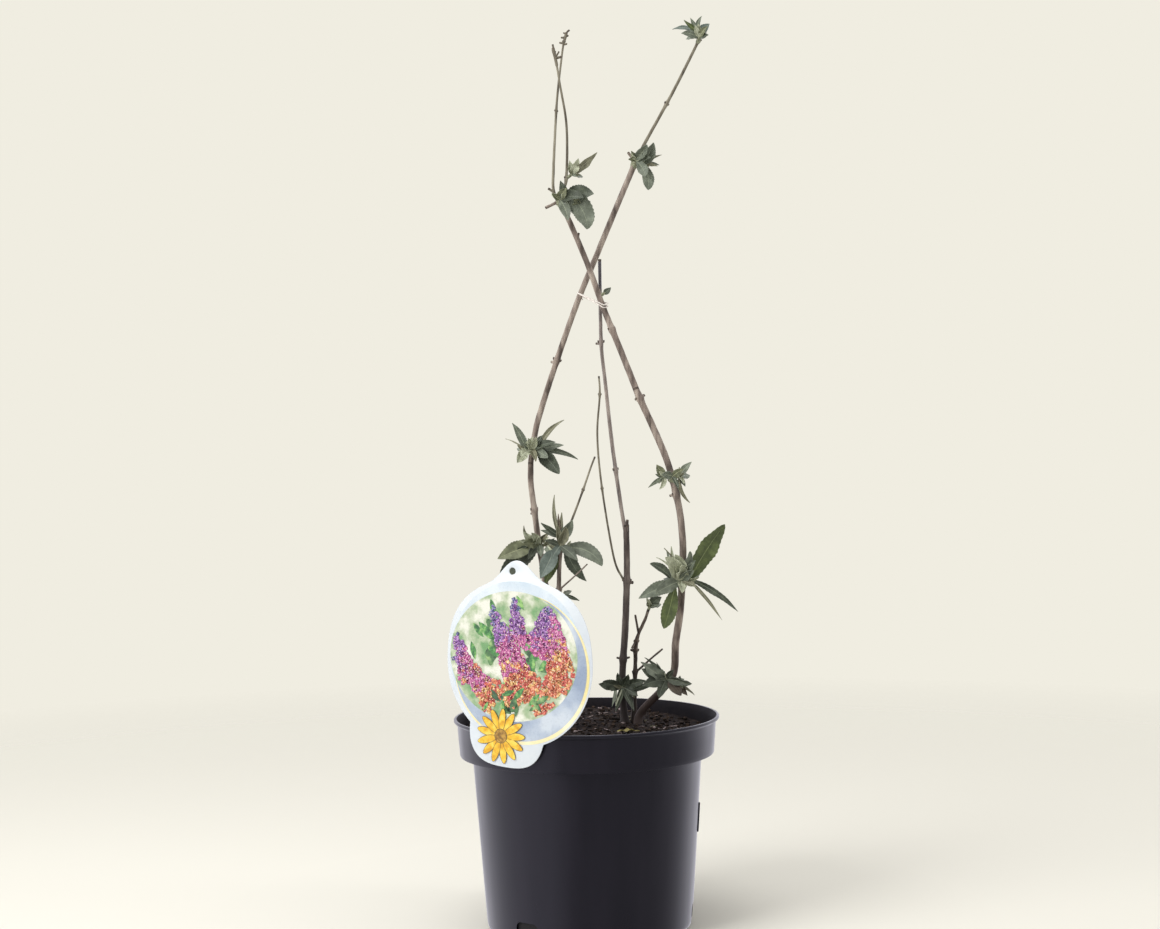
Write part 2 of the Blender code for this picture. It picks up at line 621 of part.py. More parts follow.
def build_label_card():
    """Round printed card that stands against the rim, with a tongue that hooks over it."""
    outward = bearing_direction(CARD_BEARING)
    across = Vector((-outward.y, outward.x, 0))
    back = outward * (RIM_RADIUS + GAP)
    back.z = CARD_CENTRE_HEIGHT
    shape = bmesh.new()
    edge = []
    for number in range(CARD_POINTS):
        turn = 2 * math.pi * number / CARD_POINTS
        reach = card_reach(turn)
        place = back + across * (reach * math.cos(turn)) + Vector((0, 0, reach * math.sin(turn)))
        edge.append(shape.verts.new(place))
    face = shape.faces.new(edge)
    grown = bmesh.ops.extrude_face_region(shape, geom=[face])
    moved = [item for item in grown["geom"] if isinstance(item, bmesh.types.BMVert)]
    bmesh.ops.translate(shape, vec=outward * CARD_THICKNESS, verts=moved)
    card = object_from_bmesh("label_card", shape, "printed_card")

    hole_place = back + across * CARD_HOLE[0] + Vector((0, 0, CARD_HOLE[1]))
    tip = outward * (4 * CARD_THICKNESS)
    hole = tube("hole", [hole_place - tip, hole_place + tip], [CARD_HOLE_RADIUS] * 2, 12)
    joined(card, [hole], "DIFFERENCE")

    bridge_height = POT_HEIGHT + GAP + CARD_THICKNESS / 2
    bridge_middle = outward * (RIM_RADIUS + GAP + CARD_THICKNESS / 2 - CLIP_DEPTH / 2)
    bridge_middle.z = bridge_height
    bridge = box("bridge", (CLIP_WIDTH, CLIP_DEPTH, CARD_THICKNESS), bridge_middle, CARD_BEARING)
    tongue_middle = outward * (RIM_RADIUS + GAP + CARD_THICKNESS - CLIP_DEPTH)
    tongue_middle.z = bridge_height + CARD_THICKNESS / 2 - CLIP_DROP / 2
    tongue = box("tongue", (CLIP_WIDTH, CARD_THICKNESS, CLIP_DROP), tongue_middle, CARD_BEARING)
    return joined(card, [bridge, tongue])


def fine_route(points):
    """Places a millimetre apart on a smooth curve through the given points, in metres."""
    given = np.array(points, float) * MM
    padded = np.vstack([2 * given[0] - given[1], given, 2 * given[-1] - given[-2]])
    curve = []
    for first, second, third, fourth in zip(padded, padded[1:], padded[2:], padded[3:]):
        for share in np.linspace(0, 1, 40, endpoint=False):
            linear = (third - first) * share
            square = (2 * first - 5 * second + 4 * third - fourth) * share**2
            cube = (3 * second - first - 3 * third + fourth) * share**3
            curve.append(second + 0.5 * (linear + square + cube))
    curve.append(given[-1])
    curve = np.array(curve)
    travelled = np.append(0, np.cumsum(np.linalg.norm(np.diff(curve, axis=0), axis=1)))
    steps = np.linspace(0, travelled[-1], max(3, round(travelled[-1] / FINE_SPACING) + 1))
    return np.stack([np.interp(steps, travelled, curve[:, axis]) for axis in range(3)], axis=1)


def skin_of(made):
    """Search tree of an object's faces, for measuring how far a point lies from it."""
    shape = bmesh.new()
    shape.from_mesh(made.data)
    skin = BVHTree.FromBMesh(shape)
    shape.free()
    return skin


def clearance(skin, centre, direction, radius):
    """Least distance from a disc to a skin, negative where the disc reaches inside it."""
    direction = Vector(direction).normalized()
    across = direction.orthogonal().normalized() * radius
    points = [Vector(centre)]
    for number in range(8):
        points.append(points[0] + Quaternion(direction, number * math.pi / 4) @ across)
    found = []
    for point in points:
        near, normal, _, distance = skin.find_nearest(point)
        found.append(distance if (point - near).dot(normal) >= 0 else -distance)
    return min(found)


def limb_radii(limb, places):
    """Radius at each place: even taper, swollen nodes and a flared foot."""
    shares = np.linspace(0, 1, len(places))
    radii = limb.radii[0] + (limb.radii[1] - limb.radii[0]) * shares
    for height in limb.nodes:
        near = np.exp(-(((places[:, 2] - height * MM) / NODE_REACH) ** 2))
        radii = radii * (1 + (NODE_SWELL - 1) * near)
    above = (places[:, 2] - STEM_FOOT) / FLARE_HEIGHT
    radii = radii * (1 + (limb.flare - 1) * np.exp(-np.clip(above, 0, None) * 2))
    return radii * MM


class Bough:
    """A limb's axis and radii, a millimetre apart, with what sits on it."""

    def __init__(self, name, limb):
        self.name = name
        self.limb = limb
        self.places = fine_route(limb.points)
        if limb.flare > 1:
            self.stand_on_soil()
        self.radii = limb_radii(limb, self.places)

    def stand_on_soil(self):
        """Ends the axis upright, just above the soil, so that its foot is cut level."""
        kept = self.places[self.places[:, 2] > STEM_FOOT + STRAIGHT_FOOT]
        x, y = kept[0][:2]
        self.places = np.vstack([[x, y, STEM_FOOT], kept])

    def start_after(self, parent):
        """Drops the part of the axis that lies in the parent limb or nearer than the gap to it."""
        if np.linalg.norm(self.places[0] - parent.places[-1]) < GAP:
            onward = self.direction_at(0)
            before = parent.direction_at(len(parent.places) - 1)
            lean = np.linalg.norm(np.cross(onward, before))
            self.places[0] = self.places[0] + onward * (GAP + lean * self.radii[0])
            return
        for travelled in np.arange(0, len(self.places) - SECOND_RING, SEATING_STEP):
            behind = int(travelled)
            share = travelled - behind
            place = self.places[behind] * (1 - share) + self.places[behind + 1] * share
            onward = self.places[behind + SECOND_RING] - place
            if clearance(parent.skin, place, onward, self.radii[behind]) >= GAP:
                break
        self.places = np.vstack([place, self.places[behind + 1:]])
        self.radii = self.radii[behind:]

    def direction_at(self, index):
        """Unit direction of the axis at one of its places."""
        low = max(index - 1, 0)
        high = min(index + 1, len(self.places) - 1)
        step = self.places[high] - self.places[low]
        return step / np.linalg.norm(step)

    def at_height(self, height):
        """Index of the place nearest to a height."""
        return int(np.argmin(abs(self.places[:, 2] - height * MM)))

    def rings(self):
        """Indices of the places where the mesh has a ring: evenly spaced, and closer round a node."""
        count = max(2, round(len(self.places) * FINE_SPACING / RING_SPACING))
        chosen = set(np.linspace(0, len(self.places) - 1, count + 1).round().astype(int))
        for height in self.limb.nodes:
            if self.places[0, 2] < height * MM < self.places[-1, 2]:
                middle = self.at_height(height)
                chosen |= {middle - 4, middle, middle + 4}
        chosen |= {1, 6, 12} if self.limb.flare > 1 else {SECOND_RING}
        inside = sorted(i for i in chosen if 0 <= i < len(self.places))
        return [i for i, after in zip(inside, inside[1:] + [None]) if after is None or after - i > 0]

    def build(self, stubs):
        """Limb as a tapering tube, with its stubs and buds fused on."""
        rings = self.rings()
        finish = "dark_bark" if self.name.startswith("short_right") else "brown_bark"
        sides = 8 if self.radii[-1] > THICK_LIMB else 6
        made = tube(self.name, self.places[rings], self.radii[rings], sides, finish)
        extras = []
        for number, stub in enumerate(stubs):
            root = Vector(self.places[self.at_height(stub.height)])
            reach = front_direction(stub.angle, stub.away) * stub.length * MM
            radii = [radius * MM for radius in stub.radii]
            extras.append(tube(f"{self.name}_stub_{number}", [root, root + reach], radii, 6))
        if extras:
            joined(made, extras)
        self.skin = skin_of(made)


def grow_boughs():
    """All limbs by name, each started clear of the one that it grows from."""
    boughs = {}
    for name, limb in LIMBS.items():
        bough = Bough(name, limb)
        if limb.after:
            bough.start_after(boughs[limb.after])
        bough.build([stub for stub in STUBS if stub.limb == name])
        boughs[name] = bough
    return boughs


def hidden_leaves(name, shoot):
    """More leaves on the far side of a shoot, so that its tuft is full from behind."""
    draw = random.Random(HIDDEN_SEED + len(name) + int(shoot.angle))
    longest = max(leaf.length for leaf in shoot.leaves)
    leaves = []
    for number in range(shoot.hidden):
        side = 1 if math.cos(math.radians(shoot.angle)) > 0 else -1
        lift = draw.uniform(-5, 35) + 25 * number
        angle = lift if side > 0 else 180 - lift
        length = min(longest, 26) * draw.uniform(0.65, 0.85)
        leaves.append(Leaf(
            0.7, angle, angle - side * draw.uniform(5, 30), draw.uniform(50, 66),
            length, length * draw.uniform(0.34, 0.44), -side * draw.uniform(20, 50),
        ))
    return leaves


def leaf_width(share, width):
    """Width of a leaf at a share of its length: narrow foot, widest before the middle, pointed tip."""
    blade = math.sin(math.pi * share**LEAF_WIDEST) ** 0.9
    return max(width * blade, 2 * PETIOLE_RADIUS * (1 - share))


def leaf_frames(root, leaf, steps):
    """(share, place, side, face) at even steps along a leaf's midrib."""
    place = Vector(root)
    frames = []
    for number in range(steps + 1):
        share = number / steps
        angle = leaf.start + (leaf.end - leaf.start) * share
        along = front_direction(angle, leaf.away)
        face = (FRONT - along * FRONT.dot(along)).normalized()
        face = Quaternion(along, math.radians(leaf.roll)) @ face
        side = along.cross(face)
        frames.append((share, place.copy(), side, face))
        place = place + along * (leaf.length * MM / steps)
    return frames


def leaf_section(share, place, side, face, leaf):
    """Four corners of a leaf's cross-section: edge, upper midrib, edge, lower midrib."""
    half = leaf_width(share, leaf.width * MM) / 2
    thick = LEAF_THICKNESS / 2 * (1 - 0.6 * share)
    if share == 1:
        half, thick = 0.25 * MM, 0.15 * MM
    lift = face * (LEAF_FOLD * 2 * half)
    left, right = place - side * half + lift, place + side * half + lift
    return [left, place + face * thick, right, place - face * thick]


def build_leaf(name, root, leaf):
    """Leaf as a thin folded blade, extruded section by section from its stalk to its tip."""
    sections = SHORT_LEAF_SECTIONS if leaf.length * MM < SHORT_LEAF else LONG_LEAF_SECTIONS
    frames = leaf_frames(root, leaf, sections)
    shape = bmesh.new()
    face = shape.faces.new([shape.verts.new(corner) for corner in leaf_section(*frames[0], leaf)])
    for frame in frames[1:]:
        behind = list(face.verts)
        face = bmesh.ops.extrude_discrete_faces(shape, faces=[face])["faces"][0]
        ahead = list(face.verts)
        for corner, place in zip(ahead, leaf_section(*frame, leaf)):
            corner.co = place
        for edge, midrib in ((0, 1), (2, 1), (2, 3), (0, 3)):
            bmesh.ops.connect_verts(shape, verts=[behind[edge], ahead[midrib]])
    bmesh.ops.holes_fill(shape, edges=shape.edges, sides=4)
    return object_from_bmesh(name, shape)


def leaf_samples(root, leaf):
    """Points spread over a leaf, for testing what it would touch."""
    points = []
    steps = max(6, round(leaf.length / 1.2))
    for share, place, side, face in leaf_frames(root, leaf, steps):
        half = leaf_width(share, leaf.width * MM) / 2
        count = max(1, round(half / (0.7 * MM)))
        for number in range(-count, count + 1):
            across = number / count
            points.append(place + side * (half * across) + face * (LEAF_FOLD * 2 * half * abs(across)))
    return np.array(points)


class Tuft:
    """One leafy shoot: its stem and the leaves that fit on it."""

    def __init__(self, name, shoot, boughs):
        self.name = name
        self.shoot = shoot
        bough = boughs[shoot.limb]
        heading = front_direction(shoot.angle, shoot.away)
        if shoot.height is None:
            onward = Vector(bough.direction_at(len(bough.places) - 1))
            self.foot = Vector(bough.places[-1]) + onward * GAP
            self.root = self.foot + onward * TIP_BEND
        else:
            self.foot = Vector(bough.places[bough.at_height(shoot.height)])
            while clearance(bough.skin, self.foot, heading, SHOOT_RADII[0] * MM) < GAP:
                self.foot = self.foot + heading * (SEATING_STEP * MM)
            self.root = self.foot + heading * TIP_BEND
        self.tip = self.root + heading * shoot.length * MM

    def leaf_root(self, leaf):
        """Where a leaf leaves the shoot."""
        return self.root.lerp(self.tip, leaf.at)

    def choose_leaves(self, boughs, taken):
        """Keeps the leaves that touch no limb and no other tuft, and notes the room they take."""
        self.leaves = []
        own_room = []
        for leaf in self.shoot.leaves + hidden_leaves(self.name, self.shoot):
            points = leaf_samples(self.leaf_root(leaf), leaf)
            nearest_limb = min(
                (np.linalg.norm(points[:, None] - bough.places[None], axis=2) - bough.radii).min()
                for bough in boughs.values()
            )
            nearest_leaf = min(
                (np.linalg.norm(points[:, None] - other[None], axis=2).min() for other in taken),
                default=1.0,
            )
            if nearest_limb > LEAF_ROOM / 2 and nearest_leaf > LEAF_ROOM:
                self.leaves.append(leaf)
                own_room.append(points)
        taken.extend(own_room)

    def build(self):
        """Shoot and leaves fused into one solid."""
        radii = [SHOOT_RADII[0] * MM, SHOOT_RADII[0] * MM, SHOOT_RADII[1] * MM]
        stem = tube(self.name, [self.foot, self.root, self.tip], radii, 6, "felted_leaf")
        leaves = [
            build_leaf(f"{self.name}_{number}", self.leaf_root(leaf), leaf)
            for number, leaf in enumerate(self.leaves)
        ]
        return keep_outer_skin(joined(stem, leaves))


def tie_touch(bough, outward, first, slope):
    """Where the string passes a stem on its outward side, in the string's own sloping plane."""
    height = first[2]
    for _ in range(TIE_PASSES):
        index = bough.at_height(height / MM)
        axis = bough.direction_at(index)
        lean = outward.dot(axis) / axis[2]
        reach = (bough.radii[index] + TIE_CLEARANCE + TIE_RADIUS) * math.sqrt(1 + lean**2)
        place = bough.places[index] + outward * reach
        height = first[2] + slope * (place[0] - first[0])
    return np.array([place[0], place[1], height])


def build_tie(boughs):
    """Thin string drawn round the three long stems where they cross."""
    stems = [boughs[name] for name in TIE_HEIGHTS]
    middles = [stem.places[stem.at_height(height)] for stem, height in zip(stems, TIE_HEIGHTS.values())]
    first, last = middles[0], middles[-1]
    slope = (last[2] - first[2]) / (last[0] - first[0])
    places = []
    for number in range(TIE_POINTS):
        turn = 2 * math.pi * number / TIE_POINTS
        outward = np.array([math.cos(turn), math.sin(turn), 0])
        touches = [tie_touch(stem, outward, first, slope) for stem in stems]
        places.append(max(touches, key=outward.dot))
    return tube("stem_tie", places, [TIE_RADIUS] * len(places), 6, "white_string", cyclic=True)


def build_plant():
    """Limbs, tie and leafy shoots."""
    boughs = grow_boughs()
    build_tie(boughs)
    taken = []
    for name, shoot in SHOOTS.items():
        tuft = Tuft(name, shoot, boughs)
        tuft.choose_leaves(boughs, taken)
        tuft.build()


def main():
    """Builds the potted plant in an empty scene."""
    clear_scene()
    build_pot()
    build_soil()
    build_label_card()
    build_plant()


main()
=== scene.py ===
"""Looks of a young butterfly bush in its round nursery pot.

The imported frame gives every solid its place. This script dresses them: bark with its relief, leaves
with ribs and wavy margins, loose potting soil, a moulded pot, a printed label card and the string
that ties the stems. Metres, +Z up. The front view looks along +Y, with +X to its right.
"""

import logging
import math
import random
from collections.abc import Callable, Iterable, Iterator
from contextlib import contextmanager
from dataclasses import dataclass, field
from enum import Enum

import bmesh
import bpy
import numpy as np
from bmesh.types import BMEdge, BMesh, BMFace, BMVert
from bpy.types import NodeSocket, Object
from mathutils import Matrix, Quaternion, Vector, noise


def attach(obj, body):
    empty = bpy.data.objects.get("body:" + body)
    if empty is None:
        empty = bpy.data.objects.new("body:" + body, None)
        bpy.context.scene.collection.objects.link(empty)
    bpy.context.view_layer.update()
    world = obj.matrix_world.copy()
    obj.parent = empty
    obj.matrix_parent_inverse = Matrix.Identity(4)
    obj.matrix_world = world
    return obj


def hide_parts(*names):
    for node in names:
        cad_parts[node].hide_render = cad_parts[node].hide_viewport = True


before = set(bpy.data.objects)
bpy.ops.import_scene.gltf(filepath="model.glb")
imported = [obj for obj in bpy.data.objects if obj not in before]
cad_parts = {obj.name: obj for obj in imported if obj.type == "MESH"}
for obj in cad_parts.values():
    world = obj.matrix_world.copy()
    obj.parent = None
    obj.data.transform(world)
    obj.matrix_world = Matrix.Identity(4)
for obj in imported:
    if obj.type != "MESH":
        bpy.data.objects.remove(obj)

MM = 0.001
GAP = 0.3 * MM
FRONT = Vector((0, -1, 0))
UP = Vector((0, 0, 1))
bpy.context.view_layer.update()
NOISE_SEED = 7
log = logging.getLogger("butterfly_bush")

Pair = tuple[float, float]
Triple = tuple[float, float, float]
Frame = tuple[float, Vector, Vector, Vector]


def linear(code: str) -> tuple[float, float, float, float]:
    """Linear colour of a six-digit sRGB code.

    Args:
        code: two hexadecimal digits each for red, green and blue.

    Returns:
        Red, green, blue and a full alpha, 0 to 1.
    """
    parts = [int(code[place:place + 2], 16) / 255 for place in (0, 2, 4)]
    return (*(part / 12.92 if part <= 0.04045 else ((part + 0.055) / 1.055) ** 2.4 for part in parts), 1)


def bearing_direction(bearing: float) -> Vector:
    """Level direction at a bearing in degrees from the front, positive to the right."""
    turn = math.radians(bearing)
    return Vector((math.sin(turn), -math.cos(turn), 0))


def front_direction(angle: float, away: float) -> Vector:
    """Direction at an angle in the front view, turned away from the viewer, both in degrees."""
    lift, depth = math.radians(angle), math.radians(away)
    return Vector((math.cos(depth) * math.cos(lift), math.sin(depth), math.cos(depth) * math.sin(lift)))


class Nodes:
    """Adds and links the nodes of one material, or of the world."""

    def __init__(self, owner: bpy.types.Material | bpy.types.World) -> None:
        """Starts from the owner's own nodes; the world has no shader.

        Args:
            owner: the material or world.
        """
        owner.use_nodes = True
        self.tree = owner.node_tree
        self.shader = self.tree.nodes.get("Principled BSDF")

    def put(self, socket: NodeSocket, value: object) -> None:
        """Fills one input.

        Args:
            socket: the input.
            value: another node's output to link it to, or a plain value.
        """
        if isinstance(value, NodeSocket):
            self.tree.links.new(value, socket)
        else:
            socket.default_value = value

    def add(self, kind: str, inputs: dict[str | int, object], **settings: object) -> bpy.types.Node:
        """Adds a node.

        Args:
            kind: the node's type, without its ShaderNode prefix.
            inputs: a value or another node's output for each input, by name or number.
            settings: the node's own properties.

        Returns:
            The new node.
        """
        node = self.tree.nodes.new("ShaderNode" + kind)
        for name, value in settings.items():
            setattr(node, name, value)
        for name, value in inputs.items():
            self.put(node.inputs[name], value)
        return node

    def coordinates(self, stretch: float = 1.0) -> NodeSocket:
        """Object coordinates, with patterns drawn out along Z by a factor."""
        place = self.add("TexCoord", {}).outputs["Object"]
        return self.add("Mapping", {"Vector": place, "Scale": (1, 1, 1 / stretch)}).outputs["Vector"]

    def noise(self, where: NodeSocket, size: float, detail: float) -> NodeSocket:
        """Soft noise with patches of a size in metres."""
        inputs = {"Vector": where, "Scale": 1 / size, "Detail": detail}
        return self.add("TexNoise", inputs).outputs["Fac"]

    def ramp(self, factor: NodeSocket, stops: list[tuple[float, tuple]]) -> NodeSocket:
        """Colour that runs through stops.

        Args:
            factor: the place on the ramp, 0 to 1.
            stops: (place, linear colour) of each stop.

        Returns:
            The colour at that place.
        """
        node = self.add("ValToRGB", {"Fac": factor})
        band = node.color_ramp.elements
        while len(band) < len(stops):
            band.new(1)
        for element, (place, colour) in zip(band, stops):
            element.position = place
            element.color = colour
        return node.outputs["Color"]

    def mix(self, factor: object, first: object, second: object) -> NodeSocket:
        """Colour between two colours."""
        node = self.add("Mix", {0: factor, 6: first, 7: second}, data_type="RGBA")
        return node.outputs[2]

    def span(
        self, value: object, low: float, high: float, new_low: float = 0, new_high: float = 1,
        **settings: object,
    ) -> NodeSocket:
        """Value carried from one span to another, held at its ends."""
        inputs = {"Value": value, "From Min": low, "From Max": high, "To Min": new_low, "To Max": new_high}
        return self.add("MapRange", inputs, **settings).outputs["Result"]

    def bump(self, height: NodeSocket, strength: float, distance: float) -> None:
        """Gives the shader a relief from a height."""
        inputs = {"Height": height, "Strength": strength, "Distance": distance}
        self.shade(Normal=self.add("Bump", inputs).outputs["Normal"])

    def shade(self, **values: object) -> None:
        """Fills the shader's inputs; an underscore in a name stands for a space."""
        for name, value in values.items():
            self.put(self.shader.inputs[name.replace("_", " ")], value)


@dataclass(frozen=True)
class Finish:
    """A surface whose colour drifts between three tones and whose grain stands in relief."""

    name: str
    dark: str
    main: str
    light: str
    roughness: float = 0.7
    patch: float = 7 * MM
    grain: float = 0.7 * MM
    relief: float = 0.25
    stretch: float = 1.0
    sheen: float = 0.0
    drift: float = 0.14
    specular: float = 0.5
    depth: float = 0.3 * MM
    wear: Pair = (-0.07, 0.07)

    def material(self) -> bpy.types.Material:
        """The finish's material, made the first time it is asked for.

        Returns:
            The material.
        """
        made = bpy.data.materials.get(self.name)
        if made is None:
            made = bpy.data.materials.new(self.name)
            self.dress(Nodes(made))
        return made

    def tones(self, nodes: Nodes, where: NodeSocket) -> NodeSocket:
        """Base colour that drifts from dark to light over the surface.

        Args:
            nodes: the material's nodes.
            where: coordinates of the pattern.

        Returns:
            The colour.
        """
        tones = (linear(self.dark), linear(self.main), linear(self.light))
        places = (0.5 - self.drift, 0.5, 0.5 + self.drift)
        return nodes.ramp(nodes.noise(where, self.patch, 4), list(zip(places, tones)))

    def shine(self, nodes: Nodes, pattern: NodeSocket) -> NodeSocket:
        """Roughness that drifts with a pattern."""
        smooth, dull = self.wear
        return nodes.span(pattern, 0.3, 0.7, self.roughness + smooth, self.roughness + dull)

    def dress(self, nodes: Nodes) -> None:
        """Builds the surface.

        Args:
            nodes: the material's nodes.
        """
        where = nodes.coordinates(self.stretch)
        grain = nodes.noise(where, self.grain, 3)
        nodes.bump(grain, self.relief, self.depth)
        nodes.shade(
            Base_Color=self.tones(nodes, where), Roughness=self.shine(nodes, grain),
            Sheen_Weight=self.sheen, Specular_IOR_Level=self.specular,
        )


@dataclass(frozen=True)
class BarkFinish(Finish):
    """Bark with long streaks, pale pores and a darker foot, which is painted shade on the stems' feet; on
    the dark-tipped bark the same tone is the tip's own dark colour.
    """

    patch: float = 5 * MM
    grain: float = 0.9 * MM
    relief: float = 0.5
    stretch: float = 5.0
    # Tone below the foot height: painted shade where the stems' feet stand under the leaves. On the
    # dark-tipped bark the span is turned round, and it is the tip's own dark colour.
    foot: str = "3a2c26"
    foot_height: float = 0.19
    clear_height: float = 0.24
    foot_roughness: float = 0.72
    pore: float = 2.6 * MM

    def clearing(self, nodes: Nodes, foot: float = 0, above: float = 1) -> NodeSocket:
        """Value that runs from the foot's to that of the bark above it.

        Args:
            nodes: the material's nodes.
            foot: the value at the foot.
            above: the value above it.

        Returns:
            The value at each height.
        """
        place = nodes.add("TexCoord", {}).outputs["Object"]
        height = nodes.add("SeparateXYZ", {"Vector": place}).outputs["Z"]
        return nodes.span(height, self.foot_height, self.clear_height, foot, above)

    def tones(self, nodes: Nodes, where: NodeSocket) -> NodeSocket:
        """Streaked bark with pale pores, another tone at its foot, which is painted shade; on the
        dark-tipped bark that tone is the tip's own dark colour.

        Args:
            nodes: the material's nodes.
            where: coordinates of the pattern.

        Returns:
            The colour.
        """
        streaks = super().tones(nodes, where)
        pores = nodes.add("TexVoronoi", {"Vector": where, "Scale": 1 / self.pore}).outputs["Distance"]
        dotted = nodes.mix(nodes.span(pores, 0.10, 0.22, 0.55, 0), streaks, linear(self.light))
        # The foot tone is painted in here: shade on the stems' feet, and the own dark colour at the
        # dark-tipped bark's tip.
        return nodes.mix(self.clearing(nodes), linear(self.foot), dotted)

    def dress(self, nodes: Nodes) -> None:
        """Builds the bark; its foot may shine more than the rest."""
        super().dress(nodes)
        nodes.shade(Roughness=self.clearing(nodes, self.foot_roughness, self.roughness))


@dataclass(frozen=True)
class LeafFinish(Finish):
    """Felted leaf skin with a fine net of sunken veins, darkened along them with painted shade."""

    net: float = 1.5 * MM
    depth: float = 0.12 * MM

    def dress(self, nodes: Nodes) -> None:
        """Builds the mottled felt over its net of veins, with painted shade in the vein grooves.

        Args:
            nodes: the material's nodes.
        """
        where = nodes.coordinates()
        inputs = {"Vector": where, "Scale": 1 / self.net}
        net = nodes.add("TexVoronoi", inputs, feature="DISTANCE_TO_EDGE").outputs["Distance"]
        veins = nodes.span(net, 0.0, 0.12)
        # Painted shade: the colour is drawn towards the dark tone along the sunken vein lines.
        skin = nodes.mix(nodes.span(veins, 0, 1, 0.35, 0), self.tones(nodes, where), linear(self.dark))
        nodes.bump(veins, self.relief, self.depth)
        nodes.shade(Base_Color=skin, Roughness=self.roughness)
        nodes.shade(Sheen_Weight=self.sheen, Sheen_Roughness=0.4)


@dataclass(frozen=True)
class PotFinish(Finish):
    """Satin black moulded plastic with soft vertical streaks and dusty scuffs."""

    specular: float = 0.3
    depth: float = 0.2 * MM
    wear: Pair = (-0.05, 0.06)
    tint: str = "e7e4f2"
    dust: float = 1.3 * MM

    def dress(self, nodes: Nodes) -> None:
        """Builds the plastic.

        Args:
            nodes: the material's nodes.
        """
        where = nodes.coordinates(self.stretch)
        streaks = nodes.noise(where, self.patch, 2)
        dust = nodes.noise(nodes.coordinates(), self.dust, 5)
        body = nodes.ramp(streaks, [(0.35, linear(self.dark)), (0.65, linear(self.main))])
        nodes.bump(nodes.noise(where, self.grain, 2), self.relief, self.depth)
        nodes.shade(
            Base_Color=nodes.mix(nodes.span(dust, 0.62, 0.80, 0, 0.25), body, linear(self.light)),
            Roughness=self.shine(nodes, streaks), Specular_IOR_Level=self.specular,
            Specular_Tint=linear(self.tint),
        )


BROWN_BARK = BarkFinish("brown_bark", "4f443b", "82746a", "a6998c", 0.72)
OLIVE_BARK = BarkFinish("olive_bark", "4b4539", "6d6656", "8d8775", 0.74)
DARK_BARK = BarkFinish(
    "scaly_dark_bark", "352c27", "54483f", "7d7166", 0.8, 3 * MM, 1.2 * MM, 0.8, 2.0, foot="392f29",
)
SHADED_BARK = BarkFinish(
    "shaded_bark", "3b312b", "5f534b", "857970", 0.72, foot="2a211d", foot_height=0.2, clear_height=0.33,
)
DARK_TIPPED_BARK = BarkFinish(
    "dark_tipped_bark", "4f443b", "7d7066", "9f9286", 0.6, relief=0.2, foot="2a2220",
    foot_height=0.543, clear_height=0.537, foot_roughness=0.18, specular=1.0,
)
CUT_WOOD = Finish("cut_wood", "2e261f", "4c4036", "6c5f50", 0.75, 2 * MM)
SHOOT_FELT = Finish("shoot_felt", "63654f", "83866b", "a3a58a", 0.85, 2 * MM, 0.4 * MM, 0.4, sheen=0.3)
STRING = Finish("white_string", "c9bfb8", "dfd7cf", "efe9e1", 0.8, 1.5 * MM, 0.2 * MM, 0.15, sheen=0.2)
SOIL = Finish("peaty_soil", "0d0908", "1b1412", "33271f", 0.95, 4 * MM, 1.1 * MM, 1.0, specular=0.15)
CRUMB = Finish("peat_crumb", "0f0b09", "231b16", "44362c", 0.95, 3 * MM, 0.8 * MM, 0.8, specular=0.2)
CHIP = Finish("bark_chip", "453936", "7a6a68", "b3a4a3", 0.9, 3 * MM, 0.7 * MM, 0.6)
STRAW = Finish("dead_straw", "55513c", "7d7860", "a19c85", 0.85, 3 * MM)
POT_PLASTIC = PotFinish(
    "satin_black_plastic", "0c0b10", "131117", "2c2a31", 0.31, 22 * MM, 9 * MM, 0.04, 8.0,
)
EARTHY_WALL = PotFinish(
    "earthy_inner_wall", "100e10", "1c191a", "2d2929", 0.7, 6 * MM, 1.5 * MM, 0.2, specular=0.12,
)
# Nearly black soil: painted shade on the heap's sides and bottom, below the band.
PAINTED_SHADE_SOIL = Finish("painted_shade_soil", "060504", "0a0807", "120e0c", 0.95, 4 * MM)
CARD_WHITE = Finish("white_card", "cdd4dc", "d2d9df", "d7dde2", 0.34, 22 * MM, 2 * MM, 0.02)


class Tint(Enum):
    """Leaf colours: three tones of the upper side, then those of the rib and the underside."""

    GREY = ("525948", "697060", "848b78", "959d85", "888e79")
    DARK = ("343a2c", "474e3d", "5d6551", "727a65", "70766a")
    BLUE = ("49534a", "5e6a60", "78837a", "8c9689", "848a7c")
    OLIVE = ("53573d", "6c7053", "8b8f6e", "a6a983", "8e9174")
    # Vivid green: partly the leaves' own colour, partly painted light shining through them.
    BRIGHT = ("3b451f", "4e5a2d", "66733e", "818c56", "7b835e")
    PALE = ("90957b", "adb197", "c6cab0", "ced2bb", "b5b9a2")
    WILTED = ("5f5e4b", "79785f", "94937a", "a09e85", "92907a")
    BROWN = ("40382c", "574c3d", "6f6352", "7d705e", "6f6555")
    YELLOW = ("6e6428", "928640", "b3a860", "beb47c", "958b55")

    def finishes(self) -> list[LeafFinish]:
        """Finishes of the leaf's three surfaces.

        Returns:
            Those of the upper side, the rib and the underside.
        """
        name, (dark, main, light, rib, under) = self.name.lower(), self.value
        return [
            LeafFinish(
                f"leaf_{name}", dark, main, light, 0.58, 5 * MM, relief=0.5, sheen=0.15, drift=0.26,
            ),
            LeafFinish(f"rib_{name}", under, rib, rib, 0.65, 4 * MM, relief=0.2, sheen=0.2),
            LeafFinish(f"under_{name}", main, under, rib, 0.8, 4 * MM, relief=0.4, sheen=0.35, drift=0.3),
        ]


